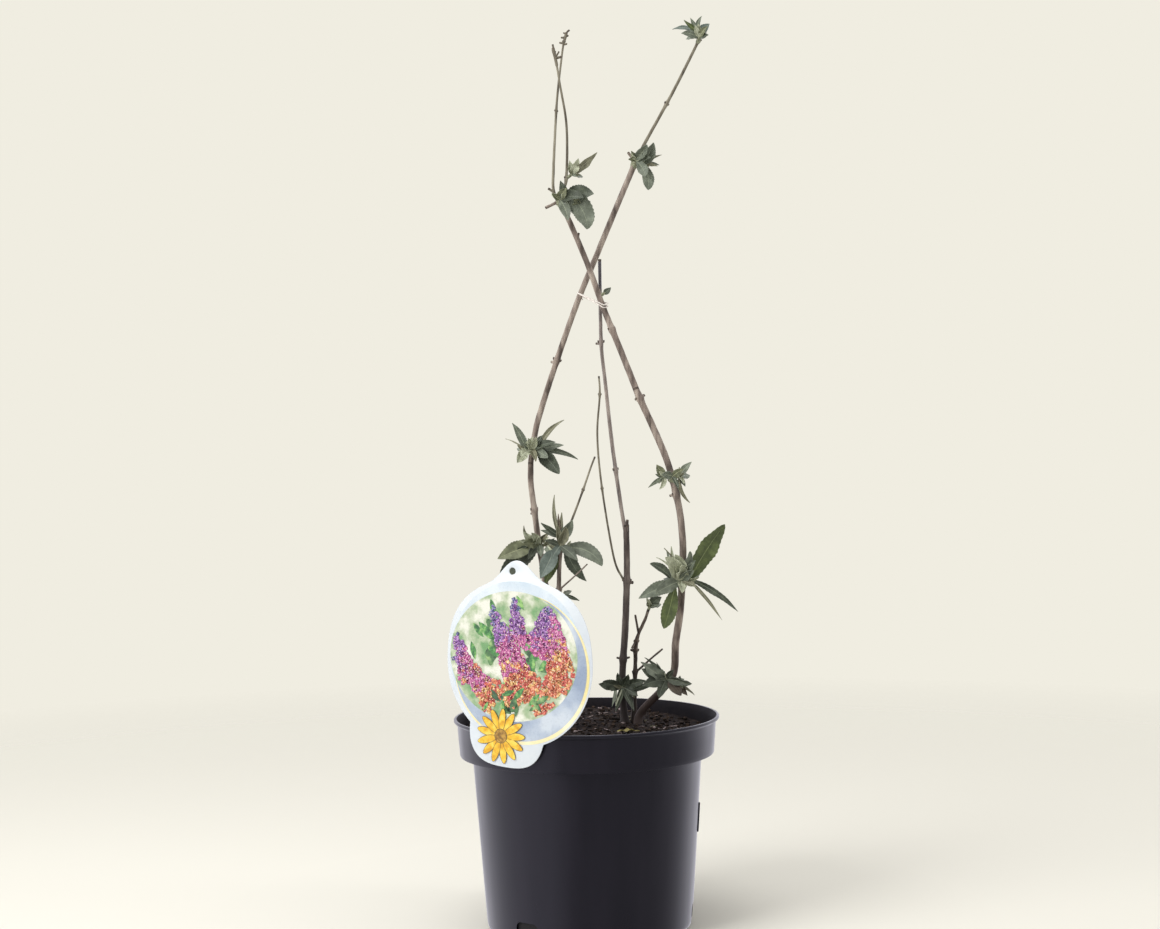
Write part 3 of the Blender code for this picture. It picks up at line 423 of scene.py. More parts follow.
@dataclass(frozen=True)
class Bend:
    """How a blade is bent: its fold, the roll of its margins, its waves and its twist in degrees."""

    fold: float
    roll: float
    wave: float
    twist: float


class Habit(Enum):
    """The ways in which the plant's leaves hold themselves."""

    SMOOTH = Bend(0.16, 0.25, 0.06, 6)
    WAVY = Bend(0.14, 0.2, 0.16, 14)
    ROLLED = Bend(0.3, 0.9, 0.12, 22)
    CRUMPLED = Bend(0.22, 0.5, 0.34, 38)


class Outline(Enum):
    """Leaf outlines: where along the leaf it is widest, and how blunt its ends are."""

    LANCE = (0.41, 0.9)
    OVAL = (0.48, 0.68)
    SPOON = (0.6, 0.7)


GREY, DARK, BLUE, OLIVE, BRIGHT, PALE, WILTED, BROWN, YELLOW = Tint
SMOOTH, WAVY, ROLLED, CRUMPLED = Habit
LANCE, OVAL, SPOON = Outline


@dataclass(frozen=True)
class Limb:
    """A stem or twig: its axis in millimetres, its radii and its swollen leaf joints."""

    points: list[Triple]
    radii: Pair
    nodes: tuple[float, ...] = ()
    flare: float = 1.0
    finish: Finish = BROWN_BARK
    slot: str = "bark"
    wrinkled: float = 0.05


@dataclass(frozen=True)
class Stub:
    """A dead twig or a bud on a limb: its angles in degrees, the rest in millimetres."""

    height: float
    angle: float
    away: float
    length: float
    foot: float
    tip: float


@dataclass(frozen=True)
class Leaf:
    """A leaf on its shoot: share of the shoot, its midrib's angles, lengths in millimetres, its look."""

    at: float
    start: float
    end: float
    away: float
    length: float
    width: float
    tint: Tint = GREY
    habit: Habit = WAVY
    outline: Outline = LANCE
    roll: float = 0.0


@dataclass(frozen=True)
class Shoot:
    """A short leafy side stem.

    Its height is None at the limb's tip, hidden counts its far leaves, and cushion is the half length
    in millimetres of the felted swelling round the limb at its foot.
    """

    limb: str
    height: float | None
    angle: float
    away: float
    length: float
    leaves: list[Leaf]
    hidden: int = 0
    cushion: float = 0.0


LIMBS = {
    "left_stem_lower": Limb([
        (-12, 20, 167), (-18, 22, 190), (-28, 25, 250), (-38, 28, 319), (-42, 27.5, 352),
        (-44.6, 26.8, 376), (-44.3, 26.2, 394),
    ], (2.9, 2.6), (228, 319, 352), 1.5),
    "left_stem_middle": Limb([
        (-44.3, 26.2, 394), (-39.8, 24, 420), (-34.8, 22.5, 438), (-20, 17.5, 481), (-0.7, 10, 532),
        (18, 8, 575), (33, 12, 610), (52.5, 18, 654.5),
    ], (2.6, 2.5), (404, 481, 650)),
    "left_stem_tip": Limb(
        [(52.5, 18, 654.5), (60, 18, 668.5), (84.6, 18, 711.5), (105.8, 18, 752), (108.6, 18, 758.5)],
        (1.5, 1.3), (701, 756), finish=OLIVE_BARK,
    ),
    "right_stem_lower": Limb([
        (43.5, 14, 167), (48, 13.5, 178), (65, 8, 196), (75.3, 2, 212), (77, -4, 237), (81, -9, 264),
        (83, -13.5, 290), (83.6, -15.5, 304),
    ], (3.4, 3.1), (205, 288), 1.35),
    "right_stem_middle": Limb([
        (83.6, -15.5, 304), (84, -17, 320), (82.6, -19, 342), (79.6, -20, 361), (70.7, -19, 396),
        (50, -15, 446), (46.5, -14, 455),
    ], (3.0, 2.8), (364, 378, 446)),
    "right_stem_upper": Limb([
        (46.5, -14, 455), (35, -10.5, 486), (20.4, -6.3, 524.5), (9.1, -6, 558), (-7.2, -9, 598.5),
        (-16.2, -10, 616.4),
    ], (2.8, 2.35), (505, 613)),
    "fork_left_twig": Limb([
        (-16.8, -10.2, 614.5), (-20, -12, 625.5), (-19.5, -12, 641), (-18.3, -11, 662),
        (-15.5, -8, 701), (-11.6, -4, 733), (-8.9, -3, 751), (-6.5, -2, 759), (-3.8, -2, 761.5),
    ], (1.3, 0.8), (691, 751), finish=OLIVE_BARK),
    "fork_right_twig": Limb([
        (-15.8, -9.9, 615.5), (-11.5, -6.5, 626), (-9.1, -5, 632.5), (-7.7, -3.5, 658),
        (-8.2, -4, 684.5), (-12.7, -10.5, 713), (-15.4, -12, 731), (-18.3, -12, 747),
    ], (1.3, 0.85), (634, 740), finish=OLIVE_BARK),
    "middle_stem_lower": Limb([
        (33.3, 22, 167), (31.6, 22, 195), (32.5, 21, 219), (34.6, 19, 244), (36.7, 16, 283),
        (37.3, 15, 306), (37.2, 13.5, 338.5),
    ], (3.2, 2.7), (222, 290), 1.45, SHADED_BARK),
    "middle_stem_upper": Limb([
        (36.4, 13.8, 333), (34.4, 13.2, 345), (32.3, 12, 360), (26.2, 9, 409), (21.1, 5, 463),
        (18.6, 3, 489), (18.2, 1.6, 516), (18.3, 1, 542), (18.3, 1, 566),
    ], (1.8, 1.5), (385, 495), finish=DARK_TIPPED_BARK),
    "middle_stem_side_twig": Limb([
        (36.9, 15.8, 288), (32.7, 13.4, 293.5), (25.7, 9, 312), (16.8, 0, 370.6), (13.6, -2.8, 415),
        (16.3, -3.4, 450), (15.8, -3.8, 466),
    ], (0.95, 0.85), (370, 450), finish=OLIVE_BARK),
    "short_left_stem": Limb([
        (-14.5, 5, 167), (-18, 4.5, 184), (-22, 1, 220), (-22.3, -2, 255), (-21, -4, 300),
        (-19, -4, 326),
    ], (2.3, 1.9), (284, 320), 1.5),
    "short_left_stem_twig": Limb([
        (-20.2, -4, 315), (-16.6, -1.5, 327), (-9.3, 3, 344), (0.6, 8, 369), (7.5, 10.5, 388),
        (11.4, 12, 397.5),
    ], (1.15, 0.8), (369,), finish=OLIVE_BARK),
    "short_right_stem": Limb([
        (41, 31, 167), (42.5, 30.5, 190), (43.7, 30, 226), (44.6, 29, 236), (47.5, 28, 245),
        (52.4, 26.5, 255), (55.6, 25.5, 264),
    ], (2.3, 1.3), (209, 228, 236), 1.3, DARK_BARK, "dark_bark", 0.22),
}

STUBS = {
    "left_stem_middle": [Stub(651, 124, 0, 11, 1.3, 1.0), Stub(479, 165, 30, 5, 1.5, 0.9)],
    "left_stem_lower": [Stub(350, 200, 40, 5, 1.4, 0.7)],
    "right_stem_upper": [Stub(582, 75, 0, 6, 1.2, 0.7), Stub(615, 206, -5, 13, 1.4, 1.1)],
    "right_stem_middle": [
        Stub(446, 40, 35, 6, 1.7, 1.0), Stub(447, 200, 40, 5, 1.6, 0.9),
        Stub(364, 190, 30, 6, 1.5, 0.9),
    ],
    "fork_left_twig": [
        Stub(622, 150, -15, 6, 1.2, 0.9), Stub(749, 4, -10, 3.4, 1.2, 0.6),
        Stub(750.5, 172, 10, 3.8, 1.2, 0.6), Stub(755, 178, 0, 3.0, 1.1, 0.6),
        Stub(756, 15, 0, 3.0, 1.1, 0.6), Stub(759, 172, 0, 2.6, 1.0, 0.5),
        Stub(749, 74, 0, 10, 1.1, 1.15),
    ],
    "fork_right_twig": [
        Stub(729, 101, 0, 15, 1.3, 1.25), Stub(736, 55, 0, 6, 1.1, 0.5),
        Stub(735, 12, -8, 5.4, 1.2, 0.9),
    ],
    "middle_stem_lower": [
        Stub(289, 0, -20, 6, 1.5, 1.2), Stub(335, 80, 0, 8.5, 1.7, 1.0), Stub(222, 165, 0, 6, 1.2, 0.7),
        Stub(222, 15, 0, 6, 1.2, 0.7),
    ],
    "middle_stem_upper": [Stub(494, 172, 0, 5, 1.2, 0.8)],
    "short_left_stem": [Stub(284, 42, -12, 34, 0.8, 0.5)],
    "short_right_stem": [
        Stub(209, 42, -15, 33, 1.0, 0.7), Stub(228, 165, -20, 5, 1.4, 0.8),
        Stub(237, 236, -25, 9, 1.3, 0.7), Stub(243, 100, -10, 17, 1.1, 0.8),
    ],
}

SHOOTS = {
    "leaves_left_low_a": Shoot("left_stem_lower", 320, 165, -35, 2.5, [
        Leaf(1.0, 196, 206, -12, 33, 16, OLIVE, SMOOTH, roll=20),
        Leaf(1.0, 155, 165, -28, 13, 6, PALE, CRUMPLED),
        Leaf(0.8, 140, 70, -10, 20, 4, WILTED, ROLLED, roll=20),
        Leaf(0.5, 250, 220, -10, 17, 7, DARK, ROLLED),
        Leaf(0.8, 120, 130, -20, 15, 7, PALE, CRUMPLED, roll=30),
    ], 1),
    "leaves_left_low_b": Shoot("left_stem_lower", 320, 15, -30, 2, [
        Leaf(1.0, 8, -20, 0, 12, 5, WILTED),
        Leaf(0.8, 25, 50, 5, 10, 4, DARK),
    ], 1),
    "leaves_left_middle_a": Shoot("left_stem_middle", 403, 165, -35, 2, [
        Leaf(0.9, 108, 128, -8, 27, 7, roll=15),
        Leaf(1.0, 151, 143, -5, 9, 4, WILTED, ROLLED),
        Leaf(0.8, 228, 240, -15, 14, 9, PALE, CRUMPLED),
        Leaf(0.7, 70, 48, -30, 15, 6, PALE),
        Leaf(0.6, 141, 166, 10, 22, 1.2, WILTED),
    ], 1),
    "leaves_left_middle_b": Shoot("left_stem_middle", 403, 15, -35, 2, [
        Leaf(0.9, 67, 23, 0, 35, 5, WILTED, ROLLED),
        Leaf(1.0, 15, 1, -15, 23, 7, roll=-20),
        Leaf(0.9, -1, -33, 8, 36, 5, GREY, ROLLED, roll=-10),
        Leaf(0.6, -41, -59, -22, 30, 14, DARK, ROLLED, OVAL, roll=10),
        Leaf(0.6, 63, 83, -35, 14, 6, PALE),
    ], 1),
    "leaves_left_upper": Shoot("left_stem_middle", 649, 5, -25, 3, [
        Leaf(0.9, 50, 76, -15, 20, 12, GREY, ROLLED),
        Leaf(0.8, -60, -106, -8, 25, 10, GREY, WAVY, SPOON),
        Leaf(1.0, 32, 7, 0, 18, 2.5, WILTED),
        Leaf(1.0, -7, -29, -10, 13, 3.5, WILTED, CRUMPLED),
        Leaf(1.0, 3, -17, 15, 15, 3.5),
    ], 2),
    "leaves_left_top": Shoot("left_stem_tip", None, 112, 0, 3, [
        Leaf(0.9, 148, 203, 0, 24, 5, BLUE, roll=20),
        Leaf(1.0, 146, 136, -15, 17, 4, BRIGHT),
        Leaf(1.0, 118, 118, 5, 15, 4),
        Leaf(1.0, 105, 35, -10, 15, 4),
        Leaf(0.8, 44, 34, -5, 12, 7.5, BLUE, SMOOTH),
        Leaf(1.0, 12, -20, -5, 7, 4, BROWN, CRUMPLED),
        Leaf(1.0, 100, 90, -60, 10, 4, PALE),
    ], 2),
    "leaves_short_left_top": Shoot("short_left_stem", None, 92, 0, 3.5, [
        Leaf(0.4, 111, 79, 5, 38, 3.4, WILTED, ROLLED),
        Leaf(0.8, 97, 93, -10, 20, 3, BROWN, ROLLED),
        Leaf(1.0, 86, 88, 8, 20, 3.2, WILTED, ROLLED),
        Leaf(0.6, 46, 72, -18, 19, 9.5, GREY, ROLLED, roll=15),
        Leaf(0.7, 148, 136, -8, 21, 5.5, DARK, ROLLED, roll=15),
        Leaf(0.6, 153, 171, 12, 19, 5, DARK, roll=10),
    ], 1),
    "leaves_short_left_right": Shoot("short_left_stem", 319, 10, -25, 2, [
        Leaf(0.9, 6, -72, -10, 37, 13, GREY, SMOOTH, OVAL, roll=-15),
        Leaf(0.6, -72, -40, 6, 34, 10, DARK),
    ], 1),
    "leaves_short_left_left": Shoot("short_left_stem", 319, 180, -25, 2, [
        Leaf(0.9, 244, 240, -16, 28, 14, BLUE, SMOOTH, roll=10),
        Leaf(0.9, 259, 245, 4, 31, 11, BRIGHT, SMOOTH),
    ], 1),
    "leaves_short_left_foot": Shoot("short_left_stem", 281, -10, -20, 1.5, [
        Leaf(0.9, -17, -31, 5, 14, 3.5, DARK, ROLLED),
    ], 1),
    "leaves_right_side_right": Shoot("right_stem_lower", 287, 40, -35, 3, [
        Leaf(1.0, 62, 50, -5, 55, 17, BRIGHT, WAVY, OVAL, roll=12),
        Leaf(0.9, -24, -50, 5, 50, 5.5, DARK, CRUMPLED),
        Leaf(0.6, -46, -60, 0, 44, 3, WILTED),
    ], 2),
    "leaves_right_side_left": Shoot("right_stem_lower", 287, 160, -30, 2.5, [
        Leaf(0.9, 123, 165, 5, 27, 8, DARK, ROLLED, SPOON, roll=15),
        Leaf(0.7, 195, 209, -10, 34, 12.5, GREY, SMOOTH, roll=25),
        Leaf(1.0, 92, 98, -12, 32, 5.5, PALE, ROLLED),
        Leaf(0.9, 99, 107, 8, 28, 4, GREY, ROLLED),
        Leaf(0.5, 256, 250, -14, 40, 13, BRIGHT, SMOOTH, SPOON),
    ], 2),
    "leaves_right_side_front": Shoot("right_stem_lower", 290, 80, -70, 2.5, [
        Leaf(1.0, 70, 86, -20, 26, 9, GREY, CRUMPLED, OVAL),
        Leaf(0.8, 98, 122, -25, 25, 11, PALE, ROLLED, OVAL),
        Leaf(0.8, 63, 53, -30, 22, 7, GREY, ROLLED),
    ]),
    "leaves_right_middle_a": Shoot("right_stem_middle", 378, 165, -20, 2, [
        Leaf(0.9, 126, 116, -12, 12, 7, OLIVE, roll=10),
        Leaf(0.7, 208, 222, -8, 17, 3.6),
        Leaf(0.8, 175, 150, 5, 8, 3, DARK),
        Leaf(0.6, 265, 215, 0, 12, 4, PALE, ROLLED),
    ], 1),
    "leaves_right_middle_b": Shoot("right_stem_middle", 378, 15, -20, 2, [
        Leaf(0.9, 59, 33, -5, 16, 6, roll=-10),
        Leaf(0.8, -55, -70, -10, 10, 4, DARK),
        Leaf(0.8, -94, -34, 5, 25, 3.4, WILTED, ROLLED),
    ], 1),
    "leaves_fork": Shoot("right_stem_upper", 611, 46, -30, 6, [
        Leaf(1.0, -36, -99, -12, 35, 18, GREY, WAVY, OVAL),
        Leaf(0.6, 26, -22, -20, 25, 15, DARK, roll=10),
        Leaf(0.6, 112, 105, -8, 16, 7, DARK),
        Leaf(0.4, -9, -29, -25, 14, 9, OLIVE),
    ], 1),
    "leaves_fork_upper": Shoot("fork_right_twig", 634, 35, -5, 2, [
        Leaf(1.0, 36, 44, -5, 28, 7, WILTED, CRUMPLED, roll=15),
        Leaf(0.7, 61, 71, -20, 15, 7, PALE, CRUMPLED),
        Leaf(0.7, 95, 101, -12, 12, 5, PALE),
    ], 1),
    "leaves_middle_foot_a": Shoot("middle_stem_lower", 197, 165, -20, 2, [
        Leaf(1.0, 176, 158, -10, 15, 7.5, DARK, roll=20),
        Leaf(0.7, 262, 245, -35, 20, 3, roll=30),
    ], 1),
    "leaves_middle_foot_b": Shoot("middle_stem_lower", 194, 5, -30, 2, [
        Leaf(1.0, 20, 12, -18, 26, 5.5, DARK, roll=-15),
        Leaf(0.8, -70, -84, -45, 22, 3, DARK),
    ]),
    "leaves_right_foot_a": Shoot("right_stem_lower", 206, 160, -30, 2.5, [
        Leaf(1.0, 164, 148, -12, 21, 10, roll=15),
        Leaf(0.8, 120, 112, 10, 14, 2.5, DARK),
        Leaf(0.7, 248, 256, -18, 14, 6, DARK),
    ], 1),
    "leaves_right_foot_b": Shoot("right_stem_lower", 204, -15, -25, 2.5, [
        Leaf(0.9, 7, -7, -8, 12, 5.5, DARK, roll=-10),
        Leaf(0.7, -48, -54, -14, 13, 5.5, BROWN),
        Leaf(1.0, -26, -52, 12, 18, 2.2, WILTED),
        Leaf(0.6, 65, 85, -30, 9, 4),
    ], 1),
    "leaves_short_right_top": Shoot("short_right_stem", None, 65, 0, 2.5, [
        Leaf(0.6, 50, 22, -15, 14, 9, DARK),
        Leaf(0.9, 74, 80, 5, 21, 2.6, BROWN, ROLLED),
        Leaf(0.8, 104, 124, -20, 9, 3, DARK),
    ], 1),
    "leaf_at_tie": Shoot("right_stem_upper", 533, 35, -10, 1.5, [
        Leaf(0.0, 32, 50, -5, 8.5, 5, DARK, SMOOTH),
    ]),
}

CROWNS = {
    "crown_left_low": Shoot("left_stem_lower", 320, 100, -70, 2.2, [
        Leaf(1.0, 112, 132, -38, 15, 7, PALE, CRUMPLED),
        Leaf(1.0, 168, 185, -40, 17, 9, OLIVE, CRUMPLED, OVAL),
        Leaf(0.9, 222, 252, -30, 18, 8, DARK, ROLLED),
        Leaf(0.6, 214, 228, 4, 45, 17, DARK, SMOOTH, OVAL),
        Leaf(0.9, 55, 30, -28, 15, 5, WILTED, ROLLED),
        Leaf(0.8, -70, -98, -40, 14, 6),
        Leaf(1.0, 90, 70, -50, 11, 5, PALE, ROLLED),
    ], cushion=4.5),
    "crown_left_middle": Shoot("left_stem_middle", 403, 95, -72, 2.2, [
        Leaf(1.0, 62, 78, -38, 14, 6, PALE, ROLLED),
        Leaf(1.0, 112, 96, -42, 13, 6, PALE, CRUMPLED, roll=10),
        Leaf(0.9, -20, -42, -32, 19, 8, GREY, WAVY, OVAL),
        Leaf(0.9, 204, 228, -38, 14, 8, PALE, CRUMPLED, OVAL),
        Leaf(0.8, 24, 4, -26, 24, 8, DARK, ROLLED, roll=-20),
        Leaf(0.8, -62, -88, -42, 15, 6, WILTED, ROLLED),
        Leaf(1.0, 150, 138, -38, 12, 5),
        Leaf(0.9, 46, 60, -20, 16, 7, DARK, CRUMPLED),
    ], cushion=4.5),
    "crown_left_upper": Shoot("left_stem_middle", 650, 80, -70, 2, [
        Leaf(1.0, 122, 108, -30, 9, 5, OLIVE, CRUMPLED),
        Leaf(1.0, 42, 62, -28, 17, 9, GREY, ROLLED, OVAL),
        Leaf(0.9, -48, -92, -26, 20, 9, GREY, WAVY, SPOON),
        Leaf(0.9, 12, -12, -28, 15, 6, DARK),
        Leaf(0.9, 172, 192, -30, 7, 4, OLIVE, ROLLED),
    ], cushion=6),
    "crown_left_top": Shoot("left_stem_tip", 755, 75, -62, 1.6, [
        Leaf(1.0, 158, 192, -18, 17, 6.5),
        Leaf(1.0, 118, 100, -30, 11, 5, PALE),
        Leaf(0.9, 62, 30, -28, 12, 5.5, OLIVE, ROLLED),
        Leaf(0.8, 18, -8, -30, 9, 5, DARK),
    ], cushion=3),
    "crown_short_left": Shoot("short_left_stem", 321, 92, -74, 1.8, [
        Leaf(1.0, 96, 101, -20, 20, 5, WILTED, ROLLED),
        Leaf(1.0, 66, 84, -22, 18, 9, WILTED, ROLLED, OVAL),
        Leaf(0.9, 152, 168, -28, 16, 5, DARK),
        Leaf(0.9, -32, -56, -28, 22, 8, DARK),
        Leaf(0.9, 228, 250, -32, 16, 7, BLUE),
    ], cushion=3.5),
    "crown_right_side": Shoot("right_stem_lower", 289, 118, -70, 2.6, [
        Leaf(1.0, 110, 142, -28, 28, 13, PALE, ROLLED, OVAL),
        Leaf(1.0, 84, 98, -40, 18, 10, PALE, CRUMPLED, OVAL),
        Leaf(1.0, 56, 18, -36, 17, 9, GREY, ROLLED, OVAL),
        Leaf(0.8, 196, 214, -26, 27, 11, GREY, WAVY, OVAL),
        Leaf(0.9, -82, -100, -42, 13, 7, PALE, CRUMPLED),
        Leaf(0.9, -10, -44, -36, 17, 6, WILTED, CRUMPLED),
        Leaf(0.8, 118, 160, -10, 30, 1.8, PALE, ROLLED),
        Leaf(0.8, 100, 140, -14, 33, 1.6, WILTED, ROLLED),
    ], cushion=5.5),
    "crown_right_foot": Shoot("right_stem_lower", 204, 128, -64, 3, [
        Leaf(1.0, 150, 136, -15, 28, 11, GREY, CRUMPLED, roll=10),
        Leaf(0.9, 182, 204, -25, 24, 11, DARK),
        Leaf(0.9, -4, -26, -24, 22, 8, GREY, ROLLED),
        Leaf(0.8, -42, -60, -20, 19, 9, BROWN, SMOOTH, OVAL),
        Leaf(0.9, 236, 256, -25, 18, 8, DARK, WAVY, OVAL),
        Leaf(1.0, 62, 44, -30, 12, 5, DARK),
        Leaf(0.8, 122, 152, -6, 27, 3.4, DARK, ROLLED),
    ], cushion=5),
    "crown_middle_foot": Shoot("middle_stem_lower", 196, 100, -70, 2.2, [
        Leaf(1.0, 166, 150, -22, 19, 9, DARK, WAVY, OVAL),
        Leaf(1.0, 58, 76, -30, 15, 7, DARK),
        Leaf(0.9, 256, 246, -30, 23, 6, DARK, ROLLED),
        Leaf(0.8, -60, -72, -30, 22, 4.5, DARK, ROLLED),
        Leaf(0.8, 240, 262, -34, 19, 3.2, PALE, ROLLED),
        Leaf(0.9, -20, -38, -28, 17, 7, DARK),
        Leaf(0.8, 22, 8, -20, 23, 8, DARK),
        Leaf(0.8, 112, 96, -24, 15, 6, DARK, CRUMPLED),
    ], cushion=5),
    "crown_right_middle": Shoot("right_stem_middle", 378, 90, -75, 1.5, [
        Leaf(1.0, 160, 188, -28, 11, 7, GREY, CRUMPLED),
        Leaf(1.0, 42, 20, -28, 12, 6, OLIVE),
        Leaf(0.8, -58, -82, -30, 13, 4, DARK, ROLLED),
    ], cushion=4),
    "crown_fork": Shoot("right_stem_upper", 613, 98, -70, 2, [
        Leaf(1.0, 16, -28, -22, 22, 11, DARK, ROLLED, OVAL),
        Leaf(1.0, 62, 40, -38, 13, 8, OLIVE, CRUMPLED),
        Leaf(0.9, -58, -92, -20, 22, 9),
        Leaf(0.9, 150, 138, -28, 9, 5, OLIVE, ROLLED),
    ], cushion=5),
}


def as_object(name: str, shape: BMesh) -> Object:
    """Makes an object of a bmesh, which this frees.

    Args:
        name: name of the object and its mesh.
        shape: the bmesh, in world coordinates.

    Returns:
        The object, in the scene.
    """
    mesh = bpy.data.meshes.new(name)
    shape.to_mesh(mesh)
    shape.free()
    made = bpy.data.objects.new(name, mesh)
    bpy.context.scene.collection.objects.link(made)
    return made


def finished(
    name: str, shape: BMesh, finishes: list[Finish], slot: str, replaced: tuple[str, ...] = (),
    crease: float = 50,
) -> None:
    """Turns a bmesh into a piece that rides on the plant.

    Args:
        name: the piece's name.
        shape: its mesh in world coordinates, which this frees.
        finishes: one for each material index.
        slot: the record's material slot; not used.
        replaced: the nodes that the piece stands for.
        crease: angle in degrees past which an edge stays sharp.
    """
    piece = as_object(name, shape)
    for finish in finishes:
        piece.data.materials.append(finish.material())
    piece.data.shade_smooth()
    piece.data.set_sharp_from_angle(angle=math.radians(crease))
    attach(piece, "root")
    if replaced:
        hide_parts(*replaced)
    log.info("%s: %d faces", name, len(piece.data.polygons))


def spun(profile: list[Pair], steps: int) -> BMesh:
    """Spins a closed body round the pot's axis.

    Args:
        profile: its outline as (radius, height).
        steps: sides of the full turn.

    Returns:
        The body, its faces outwards.
    """
    shape = bmesh.new()
    corners = [shape.verts.new((radius, 0, height)) for radius, height in profile]
    edges = [shape.edges.new(pair) for pair in zip(corners, corners[1:])]
    bmesh.ops.spin(
        shape, geom=corners + edges, cent=(0, 0, 0), axis=UP, angle=math.tau, steps=steps, use_merge=True,
    )
    bmesh.ops.remove_doubles(shape, verts=shape.verts, dist=1e-6)
    bmesh.ops.recalc_face_normals(shape, faces=shape.faces)
    return shape


def round_edges(shape: BMesh, edges: Iterable[BMEdge], size: float, segments: int) -> None:
    """Rounds edges of a mesh off by a size in metres."""
    bmesh.ops.bevel(
        shape, geom=edges, offset=size, offset_type="OFFSET", segments=segments, profile=0.5,
        affect="EDGES", material=-1,
    )


def turned_spot(centre: Pair | Vector, along: float, aside: float, angle: float) -> Pair:
    """Flat place some way along and aside of a centre, turned about it by an angle in radians."""
    cosine, sine = math.cos(angle), math.sin(angle)
    return centre[0] + along * cosine - aside * sine, centre[1] + along * sine + aside * cosine


def oval(
    centre: Pair | Vector, radii: Pair, count: int, angle: float = 0, dent: float = 0, point: float = 0,
) -> list[Vector]:
    """Outline of an oval.

    Args:
        centre: its middle.
        radii: half its length and half its width.
        count: points round it.
        angle: turn of its length in radians.
        dent: depth of the notches between four petals, as a share.
        point: how far its ends are drawn to points, from 0 to 1.

    Returns:
        The points, anticlockwise.
    """
    edge = []
    for number in range(count):
        turn = math.tau * number / count
        reach = 1 + dent * math.cos(4 * turn)
        along = radii[0] * reach * math.cos(turn)
        aside = radii[1] * reach * math.sin(turn) * abs(math.sin(turn)) ** point
        edge.append(Vector(turned_spot(centre, along, aside, angle)))
    return edge


class Gathered:
    """A mesh gathered from small parts, each built on its own so that every step stays quick."""

    def __init__(self) -> None:
        """Starts empty."""
        self.shape = bmesh.new()

    @contextmanager
    def part(self) -> Iterator[BMesh]:
        """Lends an empty mesh and takes in what is built in it.

        Yields:
            The empty mesh.
        """
        part = bmesh.new()
        yield part
        mesh = bpy.data.meshes.new("part")
        part.to_mesh(mesh)
        part.free()
        self.shape.from_mesh(mesh)
        bpy.data.meshes.remove(mesh)


def grow_tube(
    shape: BMesh, centres: list[Vector], ring: Callable[[int, int], float], sides: int, finish: int = 0,
    tip_finish: int | None = None,
) -> None:
    """Grows a closed tube along its centres, ring by ring.

    Args:
        shape: the mesh to grow it in.
        centres: the axis, from foot to tip.
        ring: radius at (ring number, side number).
        sides: points round each ring.
        finish: material index.
        tip_finish: material index of the last ring and its end, where they differ.
    """
    along = (centres[1] - centres[0]).normalized()
    across = along.orthogonal().normalized()
    face = None
    for number, centre in enumerate(centres):
        ahead = centres[min(number + 1, len(centres) - 1)] - centres[max(number - 1, 0)]
        across = along.rotation_difference(ahead) @ across
        along = ahead.normalized()
        spots = [
            centre + Quaternion(along, math.tau * side / sides) @ across * ring(number, side)
            for side in range(sides)
        ]
        if face is None:
            base = bmesh.ops.create_circle(shape, segments=sides, radius=1, cap_ends=True)["verts"]
            face = base[0].link_faces[0]
        else:
            face = bmesh.ops.extrude_discrete_faces(shape, faces=[face])["faces"][0]
        for corner, spot in zip(face.verts, spots):
            corner.co = spot
        if number == 0:
            foot = list(face.verts)
    face.material_index = finish
    rim = dict.fromkeys(edge for corner in foot for edge in corner.link_edges if edge.is_boundary)
    skin = bmesh.ops.holes_fill(shape, edges=list(rim), sides=sides)["faces"]
    skin += [near for corner in foot for near in corner.link_faces]
    seen: dict[BMFace, None] = {}
    while skin:
        near = skin.pop()
        if near not in seen:
            seen[near] = None
            near.material_index = finish
            skin += [other for edge in near.edges for other in edge.link_faces if other not in seen]
    if tip_finish is not None:
        for near in {near for corner in face.verts for near in corner.link_faces}:
            near.material_index = tip_finish
    bmesh.ops.recalc_face_normals(shape, faces=list(seen))


